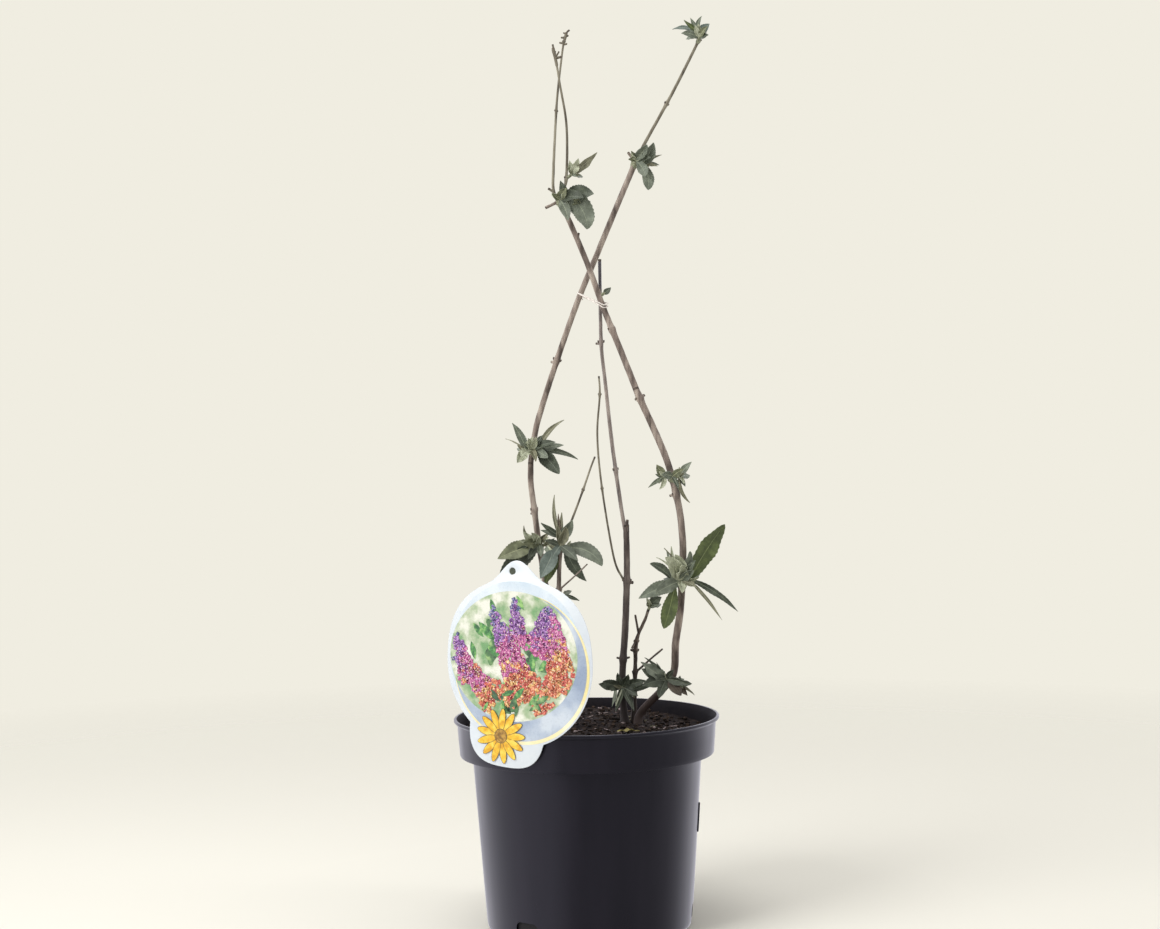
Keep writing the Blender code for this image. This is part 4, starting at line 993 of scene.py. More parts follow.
class Axis:
    """A limb's centre line and radii, a millimetre apart, by the same rule as its solid."""

    FINE_SPACING = 1 * MM
    NODE_SWELL = 1.24
    NODE_REACH = 3.2 * MM
    FLARE_HEIGHT = 9 * MM
    STRAIGHT_FOOT = 2.5 * MM
    STEM_FOOT = 166.8 * MM
    CURVE_STEPS = 40

    def __init__(self, limb: Limb) -> None:
        """Works out the places and radii of one limb.

        Args:
            limb: the limb.
        """
        self.limb = limb
        self.places = self.smooth_route()
        if limb.flare > 1:
            kept = self.places[self.places[:, 2] > self.STEM_FOOT + self.STRAIGHT_FOOT]
            self.places = np.vstack([[*kept[0][:2], self.STEM_FOOT], kept])
        shares = np.linspace(0, 1, len(self.places))
        radii = limb.radii[0] + (limb.radii[1] - limb.radii[0]) * shares
        for height in limb.nodes:
            near = np.exp(-(((self.places[:, 2] - height * MM) / self.NODE_REACH) ** 2))
            radii = radii * (1 + (self.NODE_SWELL - 1) * near)
        above = np.clip((self.places[:, 2] - self.STEM_FOOT) / self.FLARE_HEIGHT, 0, None)
        self.radii = radii * (1 + (limb.flare - 1) * np.exp(-above * 2)) * MM

    def smooth_route(self) -> np.ndarray:
        """Lays a smooth curve through the limb's points.

        Returns:
            Places a millimetre apart, one in each row.
        """
        given = np.array(self.limb.points, float) * MM
        padded = np.vstack([2 * given[0] - given[1], given, 2 * given[-1] - given[-2]])
        curve = []
        for first, second, third, fourth in zip(padded, padded[1:], padded[2:], padded[3:]):
            for share in np.linspace(0, 1, self.CURVE_STEPS, endpoint=False):
                line = (third - first) * share
                square = (2 * first - 5 * second + 4 * third - fourth) * share**2
                cube = (3 * second - first - 3 * third + fourth) * share**3
                curve.append(second + 0.5 * (line + square + cube))
        curve = np.array(curve + [given[-1]])
        travelled = np.append(0, np.cumsum(np.linalg.norm(np.diff(curve, axis=0), axis=1)))
        steps = np.linspace(0, travelled[-1], max(3, round(travelled[-1] / self.FINE_SPACING) + 1))
        return np.stack([np.interp(steps, travelled, curve[:, axis]) for axis in range(3)], axis=1)

    def at_height(self, height: float) -> int:
        """Number of the place nearest to a height in millimetres."""
        return int(np.argmin(abs(self.places[:, 2] - height * MM)))

    def direction(self, index: int) -> Vector:
        """Unit direction of the axis at one of its places."""
        low, high = max(index - 1, 0), min(index + 1, len(self.places) - 1)
        return Vector(self.places[high] - self.places[low]).normalized()


@dataclass
class Stem:
    """One limb with its bark: ridges, knobbly leaf joints, buds, stubs and a cut tip."""

    name: str
    axis: Axis
    stubs: list[Stub]
    ring_spacing: int = 2
    sides: int = 18
    ridge: float = 0.045
    wrinkle_size: float = 2.2 * MM
    collar: float = 0.35 * MM
    bud_length: float = 2.6 * MM

    def bark_radius(self, index: int, side: int) -> float:
        """Radius of the bark.

        Args:
            index: number of the axis's place.
            side: number of the ring's side.

        Returns:
            The radius with its ridges, wrinkles and collars.
        """
        turn = math.tau * side / self.sides
        radius = self.axis.radii[index]
        place = Vector(self.axis.places[index])
        spot = place + Vector((math.cos(turn), math.sin(turn), 0)) * radius
        spot.z *= 0.35
        wrinkle = noise.fractal(spot / self.wrinkle_size, 1.0, 2.0, 3)
        ridges = math.cos(4 * turn + 3 * noise.noise(place / 0.09))
        collar = sum(
            math.exp(-(((place.z - height * MM) / (0.7 * MM)) ** 2)) for height in self.axis.limb.nodes
        )
        wrinkle *= self.axis.limb.wrinkled
        return radius * (1 + self.ridge * ridges + wrinkle) + self.collar * min(collar, 1)

    def grow_axis(self, shape: BMesh) -> None:
        """Grows the limb itself, its end cut.

        Args:
            shape: the mesh to grow it in.
        """
        last = len(self.axis.places) - 1
        chosen = sorted({*range(0, last, self.ring_spacing), last})
        centres = [Vector(self.axis.places[index]) for index in chosen]
        grow_tube(
            shape, centres, lambda number, side: self.bark_radius(chosen[number], side), self.sides,
            tip_finish=1,
        )

    def grow_stub(self, shape: BMesh, stub: Stub) -> None:
        """Grows a dead twig or bud out of the limb, a little crooked, with a cut end.

        Args:
            shape: the mesh to grow it in.
            stub: the twig or bud.
        """
        root = Vector(self.axis.places[self.axis.at_height(stub.height)])
        reach = front_direction(stub.angle, stub.away) * stub.length * MM
        steps = max(5, round(stub.length))
        centres, radii = [], []
        for number in range(steps + 1):
            share = number / steps
            sway = noise.noise_vector(root * 900 + Vector((share * 2, 0, 0))) * (0.5 * MM * share)
            centres.append(root + reach * share + sway)
            knob = 1 + 0.18 * math.exp(-(((share - 0.85) / 0.1) ** 2))
            radii.append((stub.foot + (stub.tip - stub.foot) * share) * MM * knob)
        grow_tube(
            shape, centres, lambda number, side: radii[number] * (1 + 0.06 * (side % 2)), 10, tip_finish=1,
        )

    def grow_buds(self, shape: BMesh) -> None:
        """Sets a pair of small scaly buds at each leaf joint, each pair square to the last.

        Args:
            shape: the mesh to grow it in.
        """
        for number, height in enumerate(self.axis.limb.nodes):
            index = self.axis.at_height(height)
            along = self.axis.direction(index)
            place, radius = Vector(self.axis.places[index]), self.axis.radii[index]
            across = along.cross(FRONT if number % 2 else Vector((0.6, -0.8, 0))).normalized()
            length = min(self.bud_length, 1.3 * radius)
            for sign in (-1, 1):
                lean = (along + across * (0.7 * sign)).normalized()
                foot = place + across * (sign * 0.75 * radius)
                centres = [foot + lean * (length * share) for share in (0, 0.3, 0.6, 0.85, 1)]
                widths = [length * width for width in (0.3, 0.42, 0.34, 0.18, 0.05)]
                grow_tube(shape, centres, lambda ring, side: widths[ring], 8, 1)

    def build(self) -> None:
        """Builds the limb as one piece."""
        shape = bmesh.new()
        self.grow_axis(shape)
        self.grow_buds(shape)
        for stub in self.stubs:
            self.grow_stub(shape, stub)
        limb = self.axis.limb
        finished(f"bark_{self.name}", shape, [limb.finish, CUT_WOOD], limb.slot, (self.name,))


@dataclass
class Blade:
    """One leaf: a bent, folded blade with a rib, quilted veins and a toothed, wavy margin."""

    leaf: Leaf
    root: Vector
    seed: float
    columns: int = 11
    thickness: float = 0.34 * MM
    rib_half: float = 0.32 * MM
    petiole_radius: float = 0.55 * MM
    vein_depth: float = 0.22 * MM
    tooth: float = 0.06
    tip_half: float = 0.12 * MM

    @property
    def rows(self) -> int:
        """Rows of faces from the stalk to the tip."""
        return 26 if self.leaf.length > 12 else 14

    def half_width(self, share: float) -> float:
        """Half width of the leaf: narrow foot, widest before the middle, pointed tip.

        Args:
            share: share of the leaf's length.

        Returns:
            Half the width there.
        """
        widest, blunt = self.leaf.outline.value
        swell = math.sin(math.pi * share ** (math.log(0.5) / math.log(widest)))
        width = self.leaf.width * MM * max(0.0, swell) ** blunt
        return max(width, 2 * self.petiole_radius * (1 - share), 2 * self.tip_half) / 2

    def frames(self, steps: int) -> Iterator[Frame]:
        """Walks along the midrib.

        Args:
            steps: even steps to take.

        Yields:
            The share of the length, the place, the way aside and the way the face looks.
        """
        leaf = self.leaf
        place = Vector(self.root)
        lag = 0.5 / (4 if leaf.length < 24 else 6)
        for number in range(steps + 1):
            share = number / steps
            turned = max(0.0, share + 0.5 / steps - lag)
            along = front_direction(leaf.start + (leaf.end - leaf.start) * turned, leaf.away)
            face = (FRONT - along * FRONT.dot(along)).normalized()
            face = Quaternion(along, math.radians(leaf.roll)) @ face
            yield share, place.copy(), along.cross(face), face
            place = place + along * (leaf.length * MM / steps)

    def spot(self, frame_at: Frame, across: float) -> Vector:
        """Point of the upper side.

        Args:
            frame_at: share, place, side and face of the midrib there.
            across: -1 at one margin, 0 on the rib and 1 at the other margin.

        Returns:
            The point, in world coordinates.
        """
        share, place, side, face = frame_at
        bend = self.leaf.habit.value
        half = self.half_width(share)
        grown = min(1.0, share * 5)
        reach = abs(across)
        twist = Quaternion(side.cross(face), math.radians(bend.twist) * share * math.sin(self.seed * 7))
        side, face = twist @ side, twist @ face
        curl = bend.roll * grown * (1 + 0.4 * math.sin(self.seed * 5 + across))
        spread = math.sin(curl * reach) / curl if curl > 0.05 else reach
        lift = bend.fold * reach + (1 - math.cos(curl * reach)) * 0.8
        phase = math.tau * (2.3 * share + 0.31 * math.copysign(1, across)) + self.seed
        ripple = bend.wave * reach**2 * math.sin(phase) * grown
        quilt = math.cos(math.tau * (7 * share - 1.1 * reach)) * reach * (1 - reach) * grown
        height = half * (lift + ripple) + self.vein_depth * min(1, half / (3 * MM)) * quilt
        return place + side * (math.copysign(spread, across) * half) + face * height

    def grow(self, shape: BMesh, finish: int) -> None:
        """Grows the leaf in a mesh.

        Args:
            shape: the mesh.
            finish: material index of its upper side, followed by its rib's and its underside's.
        """
        frames = list(self.frames(self.rows))
        made = bmesh.ops.create_grid(shape, x_segments=self.columns, y_segments=self.rows, size=1)
        corners: list[BMVert] = made["verts"]
        faces = list(dict.fromkeys(face for corner in corners for face in corner.link_faces))
        middle = 1 / self.columns
        for face in faces:
            on_rib = abs(face.calc_center_median().x) < middle
            face.material_index = finish + (1 if on_rib else 0)
        for corner in corners:
            row = round((corner.co.y + 1) / 2 * self.rows)
            half = self.half_width(frames[row][0])
            rib = min(0.5, self.rib_half * (1.15 - frames[row][0]) / half)
            reach = rib + (abs(corner.co.x) - middle) / (1 - middle) * (1 - rib)
            if abs(corner.co.x) > 0.99 and half > 1.5 * MM:
                reach += self.tooth * (1 if row % 2 else -0.4)
            corner.co = self.spot(frames[row], math.copysign(reach, corner.co.x))
        bmesh.ops.recalc_face_normals(shape, faces=faces)
        if faces[0].normal.dot(frames[0][3]) < 0 and faces[-1].normal.dot(frames[-1][3]) < 0:
            bmesh.ops.reverse_faces(shape, faces=faces)
        grown = bmesh.ops.extrude_face_region(shape, geom=faces)["geom"]
        under = [item for item in grown if isinstance(item, BMFace)]
        moved = [item for item in grown if isinstance(item, BMVert)]
        for corner in moved:
            corner.normal_update()
        for face in under:
            face.material_index = finish + 2
        for corner in moved:
            corner.co -= corner.normal * self.thickness


class Room:
    """Space that a leaf takes, as points spread over it."""

    NEAR = 2 * MM

    def __init__(self, points: np.ndarray) -> None:
        """Notes the points with their middle and reach.

        Args:
            points: the points, one in each row.
        """
        self.points = points
        self.middle = points.mean(axis=0)
        self.reach = np.linalg.norm(points - self.middle, axis=1).max()

    def gap(self, other: "Room") -> float:
        """Distance to another leaf's room, a rough one where they are far apart.

        Args:
            other: the other leaf's room.

        Returns:
            The distance.
        """
        apart = np.linalg.norm(self.middle - other.middle) - self.reach - other.reach
        if apart > self.NEAR:
            return apart
        return np.linalg.norm(self.points[:, None] - other.points[None], axis=2).min()

    def limb_gap(self, axis: Axis) -> float:
        """Distance to a limb's bark, a rough one where they are far apart.

        Args:
            axis: the limb's centre line.

        Returns:
            The distance.
        """
        near = abs(axis.places[:, 2] - self.middle[2]) < self.reach + 5 * self.NEAR
        if not near.any():
            return 5 * self.NEAR
        away = np.linalg.norm(self.points[:, None] - axis.places[near][None], axis=2)
        return (away - axis.radii[near]).min()


class Tuft:
    """One leafy shoot with the leaves that fit on it."""

    SHOOT_RADII = (1.35, 0.9)
    TIP_BEND = 0.8 * MM
    HIDDEN_SEED = 11
    LEAF_ROOM = 0.9 * MM
    CUSHION_SWELL = 0.45 * MM
    YOUNG = 5
    YOUNG_SHOOT = 2
    YOUNG_TINTS = (PALE, PALE, OLIVE, GREY, WILTED)
    LONGEST_HIDDEN = 26

    def __init__(self, name: str, shoot: Shoot, axes: dict[str, Axis]) -> None:
        """Finds where the shoot leaves its limb.

        Args:
            name: the tuft's name.
            shoot: its shoot.
            axes: every limb's centre line, by name.
        """
        self.name = name
        self.shoot = shoot
        self.axes = axes
        self.axis = axis = axes[shoot.limb]
        heading = front_direction(shoot.angle, shoot.away)
        if shoot.height is None:
            onward = axis.direction(len(axis.places) - 1)
            self.foot = Vector(axis.places[-1])
            self.root = self.foot + onward * (GAP + self.TIP_BEND)
        else:
            index = axis.at_height(shoot.height)
            self.foot = Vector(axis.places[index])
            lean = abs(heading.dot(axis.direction(index)))
            reach = axis.radii[index] + GAP + self.SHOOT_RADII[0] * MM * lean
            self.root = self.foot + heading * (reach / math.sqrt(1 - lean**2) + self.TIP_BEND)
        self.tip = self.root + heading * shoot.length * MM

    def hidden_leaves(self) -> list[Leaf]:
        """More leaves on the far side, so that the tuft is full from behind.

        Returns:
            The leaves.
        """
        shoot = self.shoot
        draw = random.Random(self.HIDDEN_SEED + len(self.name) + int(shoot.angle))
        longest = max(leaf.length for leaf in shoot.leaves)
        leaves = []
        for number in range(shoot.hidden):
            side = 1 if math.cos(math.radians(shoot.angle)) > 0 else -1
            lift = draw.uniform(-5, 35) + 25 * number
            angle = lift if side > 0 else 180 - lift
            length = min(longest, self.LONGEST_HIDDEN) * draw.uniform(0.65, 0.85)
            leaves.append(Leaf(
                0.7, angle, angle - side * draw.uniform(5, 30), draw.uniform(50, 66), length,
                length * draw.uniform(0.34, 0.44), (GREY, DARK)[number % 2],
                roll=-side * draw.uniform(20, 50),
            ))
        return leaves

    def young_leaves(self) -> list[Leaf]:
        """Small felted leaves that open at the shoot's tip.

        Returns:
            The leaves.
        """
        draw = random.Random(self.name)
        leaves = []
        for _ in range(self.YOUNG if self.shoot.length >= self.YOUNG_SHOOT else 0):
            angle = self.shoot.angle + draw.uniform(-80, 80)
            length = draw.uniform(4.5, 9)
            leaves.append(Leaf(
                draw.uniform(0.5, 1.0), angle, angle + draw.uniform(-35, 35), draw.uniform(-50, 40),
                length, length * draw.uniform(0.34, 0.5), roll=draw.uniform(-40, 40),
                tint=draw.choice(self.YOUNG_TINTS), habit=ROLLED,
            ))
        return leaves

    def samples(self, blade: Blade) -> np.ndarray:
        """Points spread over a leaf, for testing what it would touch.

        Args:
            blade: the leaf.

        Returns:
            The points, one in each row.
        """
        points = []
        for share, place, side, face in blade.frames(max(6, round(blade.leaf.length / 1.2))):
            half = blade.half_width(share)
            count = max(1, round(half / (0.7 * MM)))
            for number in range(-count, count + 1):
                across = number / count
                points.append(place + side * (half * across) + face * (0.32 * half * abs(across)))
        return np.array(points)

    def choose(self, taken: list[Room]) -> list[Blade]:
        """Keeps the listed leaves, and the added ones that touch no limb and no other tuft.

        Args:
            taken: room of the leaves chosen before, which this adds to.

        Returns:
            The leaves kept, ready to grow.
        """
        blades, own_room = [], []
        drawn = self.shoot.leaves + self.hidden_leaves() + self.young_leaves()
        for number, leaf in enumerate(drawn):
            blade = Blade(leaf, self.root.lerp(self.tip, leaf.at), 1.7 * number + len(self.name))
            room = Room(self.samples(blade))
            clear = number < len(self.shoot.leaves) or (
                min(room.limb_gap(axis) for axis in self.axes.values()) > self.LEAF_ROOM / 2
                and min((room.gap(other) for other in taken), default=1.0) > self.LEAF_ROOM
            )
            if clear:
                blades.append(blade)
                own_room.append(room)
        taken.extend(own_room)
        return blades

    def grow_shoot(self, shape: BMesh) -> None:
        """Grows the shoot's own short stem.

        Args:
            shape: the mesh to grow it in.
        """
        first, last = (radius * MM for radius in self.SHOOT_RADII)
        centres = [self.foot, self.root, self.root.lerp(self.tip, 0.5), self.tip]
        centres.append(self.tip + (self.tip - self.root).normalized() * (0.8 * MM))
        radii = [first, first, 0.9 * first, last, 0.3 * last]
        grow_tube(shape, centres, lambda ring, side: radii[ring] * (1 + 0.08 * (side % 2)), 10)

    def grow_cushion(self, shape: BMesh) -> None:
        """Grows the felted swelling round the limb's leaf joint.

        Args:
            shape: the mesh to grow it in.
        """
        middle = self.axis.at_height(self.shoot.height)
        half = round(self.shoot.cushion)
        chosen = range(max(middle - half, 0), min(middle + half + 1, len(self.axis.places)))
        if len(chosen) < 3:
            return
        centres = [Vector(self.axis.places[index]) for index in chosen]
        radii = []
        for index in chosen:
            swell = math.cos(0.5 * math.pi * (index - middle) / (half + 0.5))
            radii.append(self.axis.radii[index] + self.CUSHION_SWELL * (2.2 * swell - 1.1))

        def knobbly(number: int, side: int) -> float:
            """Radius with small seeded knobs."""
            knob = noise.noise(centres[number] * 700 + Vector((side * 0.9, 0, 0)))
            return radii[number] * (1 + 0.12 * knob)

        grow_tube(shape, centres, knobbly, 16)

    def build(self, taken: list[Room], replaced: tuple[str, ...]) -> None:
        """Builds the tuft as one piece.

        Args:
            taken: room of the leaves built before.
            replaced: the nodes that it stands for.
        """
        shape = bmesh.new()
        self.grow_shoot(shape)
        if self.shoot.cushion:
            self.grow_cushion(shape)
        finishes: list[Finish] = [SHOOT_FELT]
        first_index: dict[Tint, int] = {}
        for blade in self.choose(taken):
            tint = blade.leaf.tint
            if tint not in first_index:
                first_index[tint] = len(finishes)
                finishes.extend(tint.finishes())
            blade.grow(shape, first_index[tint])
        finished(f"{self.name}_blades", shape, finishes, "leaf", replaced, 65)


@dataclass
class StringTie:
    """White string drawn round the three long stems, in two rounds with a small knot."""

    heights: dict[str, float] = field(default_factory=lambda: {
        "left_stem_middle": 536.5, "middle_stem_upper": 527, "right_stem_upper": 525.5,
    })
    radius: float = 0.52 * MM
    clearance: float = 0.1 * MM
    points: int = 260
    sides: int = 10
    groove: float = 0.09
    pitch: float = 2.4 * MM
    second_round: Pair = (0.4 * MM, 2.2 * MM)
    dip: float = 1.6 * MM
    rise: float = 2.2 * MM
    passes: int = 4
    knot_points: int = 30
    knot_size: float = 0.42 * MM
    tails: tuple[tuple[int, float], ...] = ((-1, 5.5 * MM), (1, 4.2 * MM))
    tail_steps: int = 7

    def loop(self, axes: dict[str, Axis], rises: Pair) -> list[Vector]:
        """Places of one round of the string.

        Args:
            axes: the stems.
            rises: how far its left and right ends lie over the first round.

        Returns:
            A closed run of places.
        """
        stems = [axes[name] for name in self.heights]
        spots = [axes[name].at_height(height) for name, height in self.heights.items()]
        first, last = stems[0].places[spots[0]], stems[-1].places[spots[-1]]
        slope = (last[2] - first[2]) / (last[0] - first[0])
        places = []
        for number in range(self.points):
            turn = math.tau * number / self.points
            outward = np.array([math.cos(turn), math.sin(turn), 0])
            touches = []
            for stem in stems:
                height = first[2]
                for _ in range(self.passes):
                    index = stem.at_height(height / MM)
                    axis = np.array(stem.direction(index))
                    lean = outward.dot(axis) / axis[2]
                    reach = (stem.radii[index] + self.clearance + self.radius) * math.sqrt(1 + lean**2)
                    place = stem.places[index] + outward * reach
                    height = first[2] + slope * (place[0] - first[0])
                touches.append(np.array([place[0], place[1], height]))
            place = Vector(max(touches, key=outward.dot))
            share = (place.x - first[0]) / (last[0] - first[0])
            if share > 0.5:
                place.z += self.rise * max(0.0, outward[0]) ** 2 + self.dip * min(0.0, outward[1])
            places.append(place + UP * (rises[0] + (rises[1] - rises[0]) * share))
        return places

    def grow_round(self, shape: BMesh, places: list[Vector]) -> None:
        """Grows one closed round, its two plies shown by a shallow twisted groove.

        Args:
            shape: the mesh to grow it in.
            places: the round's places.
        """
        count = len(places)
        length = sum((places[number] - places[number - 1]).length for number in range(count))
        turns = round(length / self.pitch)

        def twisted(number: int, side: int) -> float:
            """Radius with the groove between the plies."""
            turn = math.tau * (side / self.sides - turns * number / count)
            return self.radius * (1 + self.groove * math.cos(2 * turn))

        grow_tube(shape, [*places, places[0]], twisted, self.sides)

    def grow_knot(self, shape: BMesh, place: Vector) -> None:
        """Ties a small overhand knot with two short ends.

        Args:
            shape: the mesh to grow it in.
            place: the knot's middle.
        """
        centres = []
        for number in range(self.knot_points + 1):
            turn = math.tau * number / self.knot_points
            reach = Vector((
                math.sin(turn) + 2 * math.sin(2 * turn), math.sin(3 * turn) * 0.8,
                math.cos(turn) - 2 * math.cos(2 * turn),
            ))
            centres.append(place + reach * self.knot_size)
        grow_tube(shape, centres, lambda ring, side: 0.8 * self.radius, 6)
        for way, drop in self.tails:
            end = []
            for step in range(self.tail_steps + 1):
                share = step / self.tail_steps
                end.append(place + Vector((
                    way * 2.2 * MM * share, 0.8 * MM * math.sin(3 * share), -drop * share**1.4,
                )))
            grow_tube(shape, end, lambda ring, side: 0.7 * self.radius, 6)

    def build(self, axes: dict[str, Axis]) -> None:
        """Builds the string as one piece.

        Args:
            axes: every limb's centre line, by name.
        """
        shape = bmesh.new()
        first = self.loop(axes, (0, 0))
        self.grow_round(shape, first)
        self.grow_round(shape, self.loop(axes, self.second_round))
        back = max(first, key=lambda place: place.y)
        self.grow_knot(shape, back - FRONT * (0.6 * MM))
        finished("string_tie", shape, [STRING], "tie_string", ("stem_tie",))


@dataclass
class Pot:
    """Round nursery pot with a deep band under its lip, drain notches and a small lug."""

    height: float = 177 * MM
    rim_radius: float = 113 * MM
    band_height: float = 31.5 * MM
    band_top_radius: float = 110 * MM
    band_foot_radius: float = 108.2 * MM
    body_top_radius: float = 97.5 * MM
    body_foot_radius: float = 87.5 * MM
    underside_radius: float = 84 * MM
    lip_height: float = 3 * MM
    lip_width: float = 2.8 * MM
    corner_height: float = 6 * MM
    wall: float = 1.7 * MM
    steps: int = 192
    notch_count: int = 3
    first_notch_bearing: float = -36
    notch_size: Triple = (22 * MM, 14 * MM, 38 * MM)
    notch_corner: float = 5 * MM
    lug_bearing: float = 84
    lug_foot: float = 78 * MM
    lug_size: Triple = (4 * MM, 2.4 * MM, 25 * MM)
    lug_corner: float = 0.8 * MM

    @property
    def band_foot(self) -> float:
        """Height of the band's lower edge."""
        return self.height - self.band_height

    def body_radius(self, height: float) -> float:
        """Outer radius of the pot's body at a height."""
        share = (height - self.corner_height) / (self.band_foot - self.corner_height)
        return self.body_foot_radius + share * (self.body_top_radius - self.body_foot_radius)

    def profile(self) -> list[Pair]:
        """Outline of the wall, from under the pot round the lip to its floor.

        Returns:
            The outline's corners as (radius, height).
        """
        under, foot, wide = self.underside_radius, self.body_foot_radius, self.band_foot_radius
        lip = self.height - self.lip_height
        corner = [
            (under + (foot - under) * (1 - (1 - share) ** 2) ** 0.5, self.corner_height * share)
            for share in (0, 0.08, 0.2, 0.4, 0.65, 1)
        ]
        heights = np.linspace(self.corner_height + 4 * MM, self.band_foot - 3 * MM, 7)
        shaft = [(self.body_radius(height), height) for height in heights]
        turns = (
            (self.body_top_radius, self.band_foot, ((0.2, -1.2), (1.2, -0.2))),
            (wide, self.band_foot, ((-1.4, 0), (-0.4, 0.3), (0, 1.2), (0.15, 4), (1.0, 14))),
            (self.band_top_radius, lip, ((0, -2.4), (0.5, -1.0))),
            (self.rim_radius, lip, ((-0.6, 0.2), (0, 1.0), (0, 2.2))),
            (self.rim_radius, self.height, ((-0.5, -0.15), (-1.3, 0), (-2.2, -0.15))),
            (self.rim_radius - self.lip_width, self.height, ((0, -0.8),)),
        )
        band = [
            (radius + out * MM, height + up * MM) for radius, height, steps in turns for out, up in steps
        ]
        inside = [
            (self.band_top_radius - self.wall, self.height - 2 * self.lip_height),
            (wide - self.wall, self.band_foot + self.wall + 1 * MM),
            (self.body_top_radius - self.wall, self.band_foot + self.wall - 1 * MM),
            (self.body_foot_radius - self.wall, self.corner_height),
            (self.underside_radius - self.wall, self.wall),
            (0, self.wall),
        ]
        return [(0, 0), *corner, *shaft, *band, *inside]

    def block(self, size: Triple, bearing: float, middle: Vector, corner: float, lean: float = 0) -> Object:
        """Rounded block for cutting or adding.

        Args:
            size: across, outwards and up.
            bearing: where it faces, in degrees.
            middle: its centre.
            corner: radius of its rounded edges.
            lean: outward lean in radians.

        Returns:
            The block as a helper object.
        """
        shape = bmesh.new()
        bmesh.ops.create_cube(shape, size=1)
        bmesh.ops.scale(shape, vec=size, verts=shape.verts)
        round_edges(shape, shape.edges, corner, 5)
        turn = Matrix.Rotation(math.radians(bearing), 4, "Z") @ Matrix.Rotation(lean, 4, "X")
        bmesh.ops.transform(shape, matrix=Matrix.Translation(middle) @ turn, verts=shape.verts)
        return as_object("block", shape)

    def shaped(self, shape: BMesh, blocks: list[tuple[str, Object]]) -> BMesh:
        """Cuts blocks from the wall or joins them to it, and removes them.

        Args:
            shape: the plain wall, which this frees.
            blocks: the Boolean operation and the block of each step.

        Returns:
            The finished wall.
        """
        wall = as_object("wall", shape)
        for operation, block in blocks:
            step = wall.modifiers.new("step", "BOOLEAN")
            step.operation, step.object, step.solver = operation, block, "EXACT"
        graph = bpy.context.evaluated_depsgraph_get()
        result = bmesh.new()
        result.from_mesh(wall.evaluated_get(graph).to_mesh())
        for helper in [wall] + [block for _, block in blocks]:
            bpy.data.objects.remove(helper, do_unlink=True)
        return result

    def build(self) -> None:
        """Builds the pot as one piece."""
        blocks = []
        for number in range(self.notch_count):
            bearing = self.first_notch_bearing + number * 360 / self.notch_count
            middle = bearing_direction(bearing) * self.body_foot_radius
            block = self.block(self.notch_size, bearing, middle, self.notch_corner)
            blocks.append(("DIFFERENCE", block))
        middle_height = self.lug_foot + self.lug_size[2] / 2
        rise = self.body_radius(middle_height) - self.body_radius(self.lug_foot)
        seat = bearing_direction(self.lug_bearing) * self.body_radius(middle_height)
        seat.z = middle_height
        lean = math.atan2(rise, self.lug_size[2] / 2)
        lug = self.block(self.lug_size, self.lug_bearing, seat, self.lug_corner, lean)
        shape = self.shaped(spun(self.profile(), self.steps), [*blocks, ("UNION", lug)])
        for face in shape.faces:
            outward = face.calc_center_median().xy.normalized()
            face.material_index = face.normal.xy.dot(outward) < -0.5
        finished("moulded_pot", shape, [POT_PLASTIC, EARTHY_WALL], "pot_plastic", ("pot",), 32)


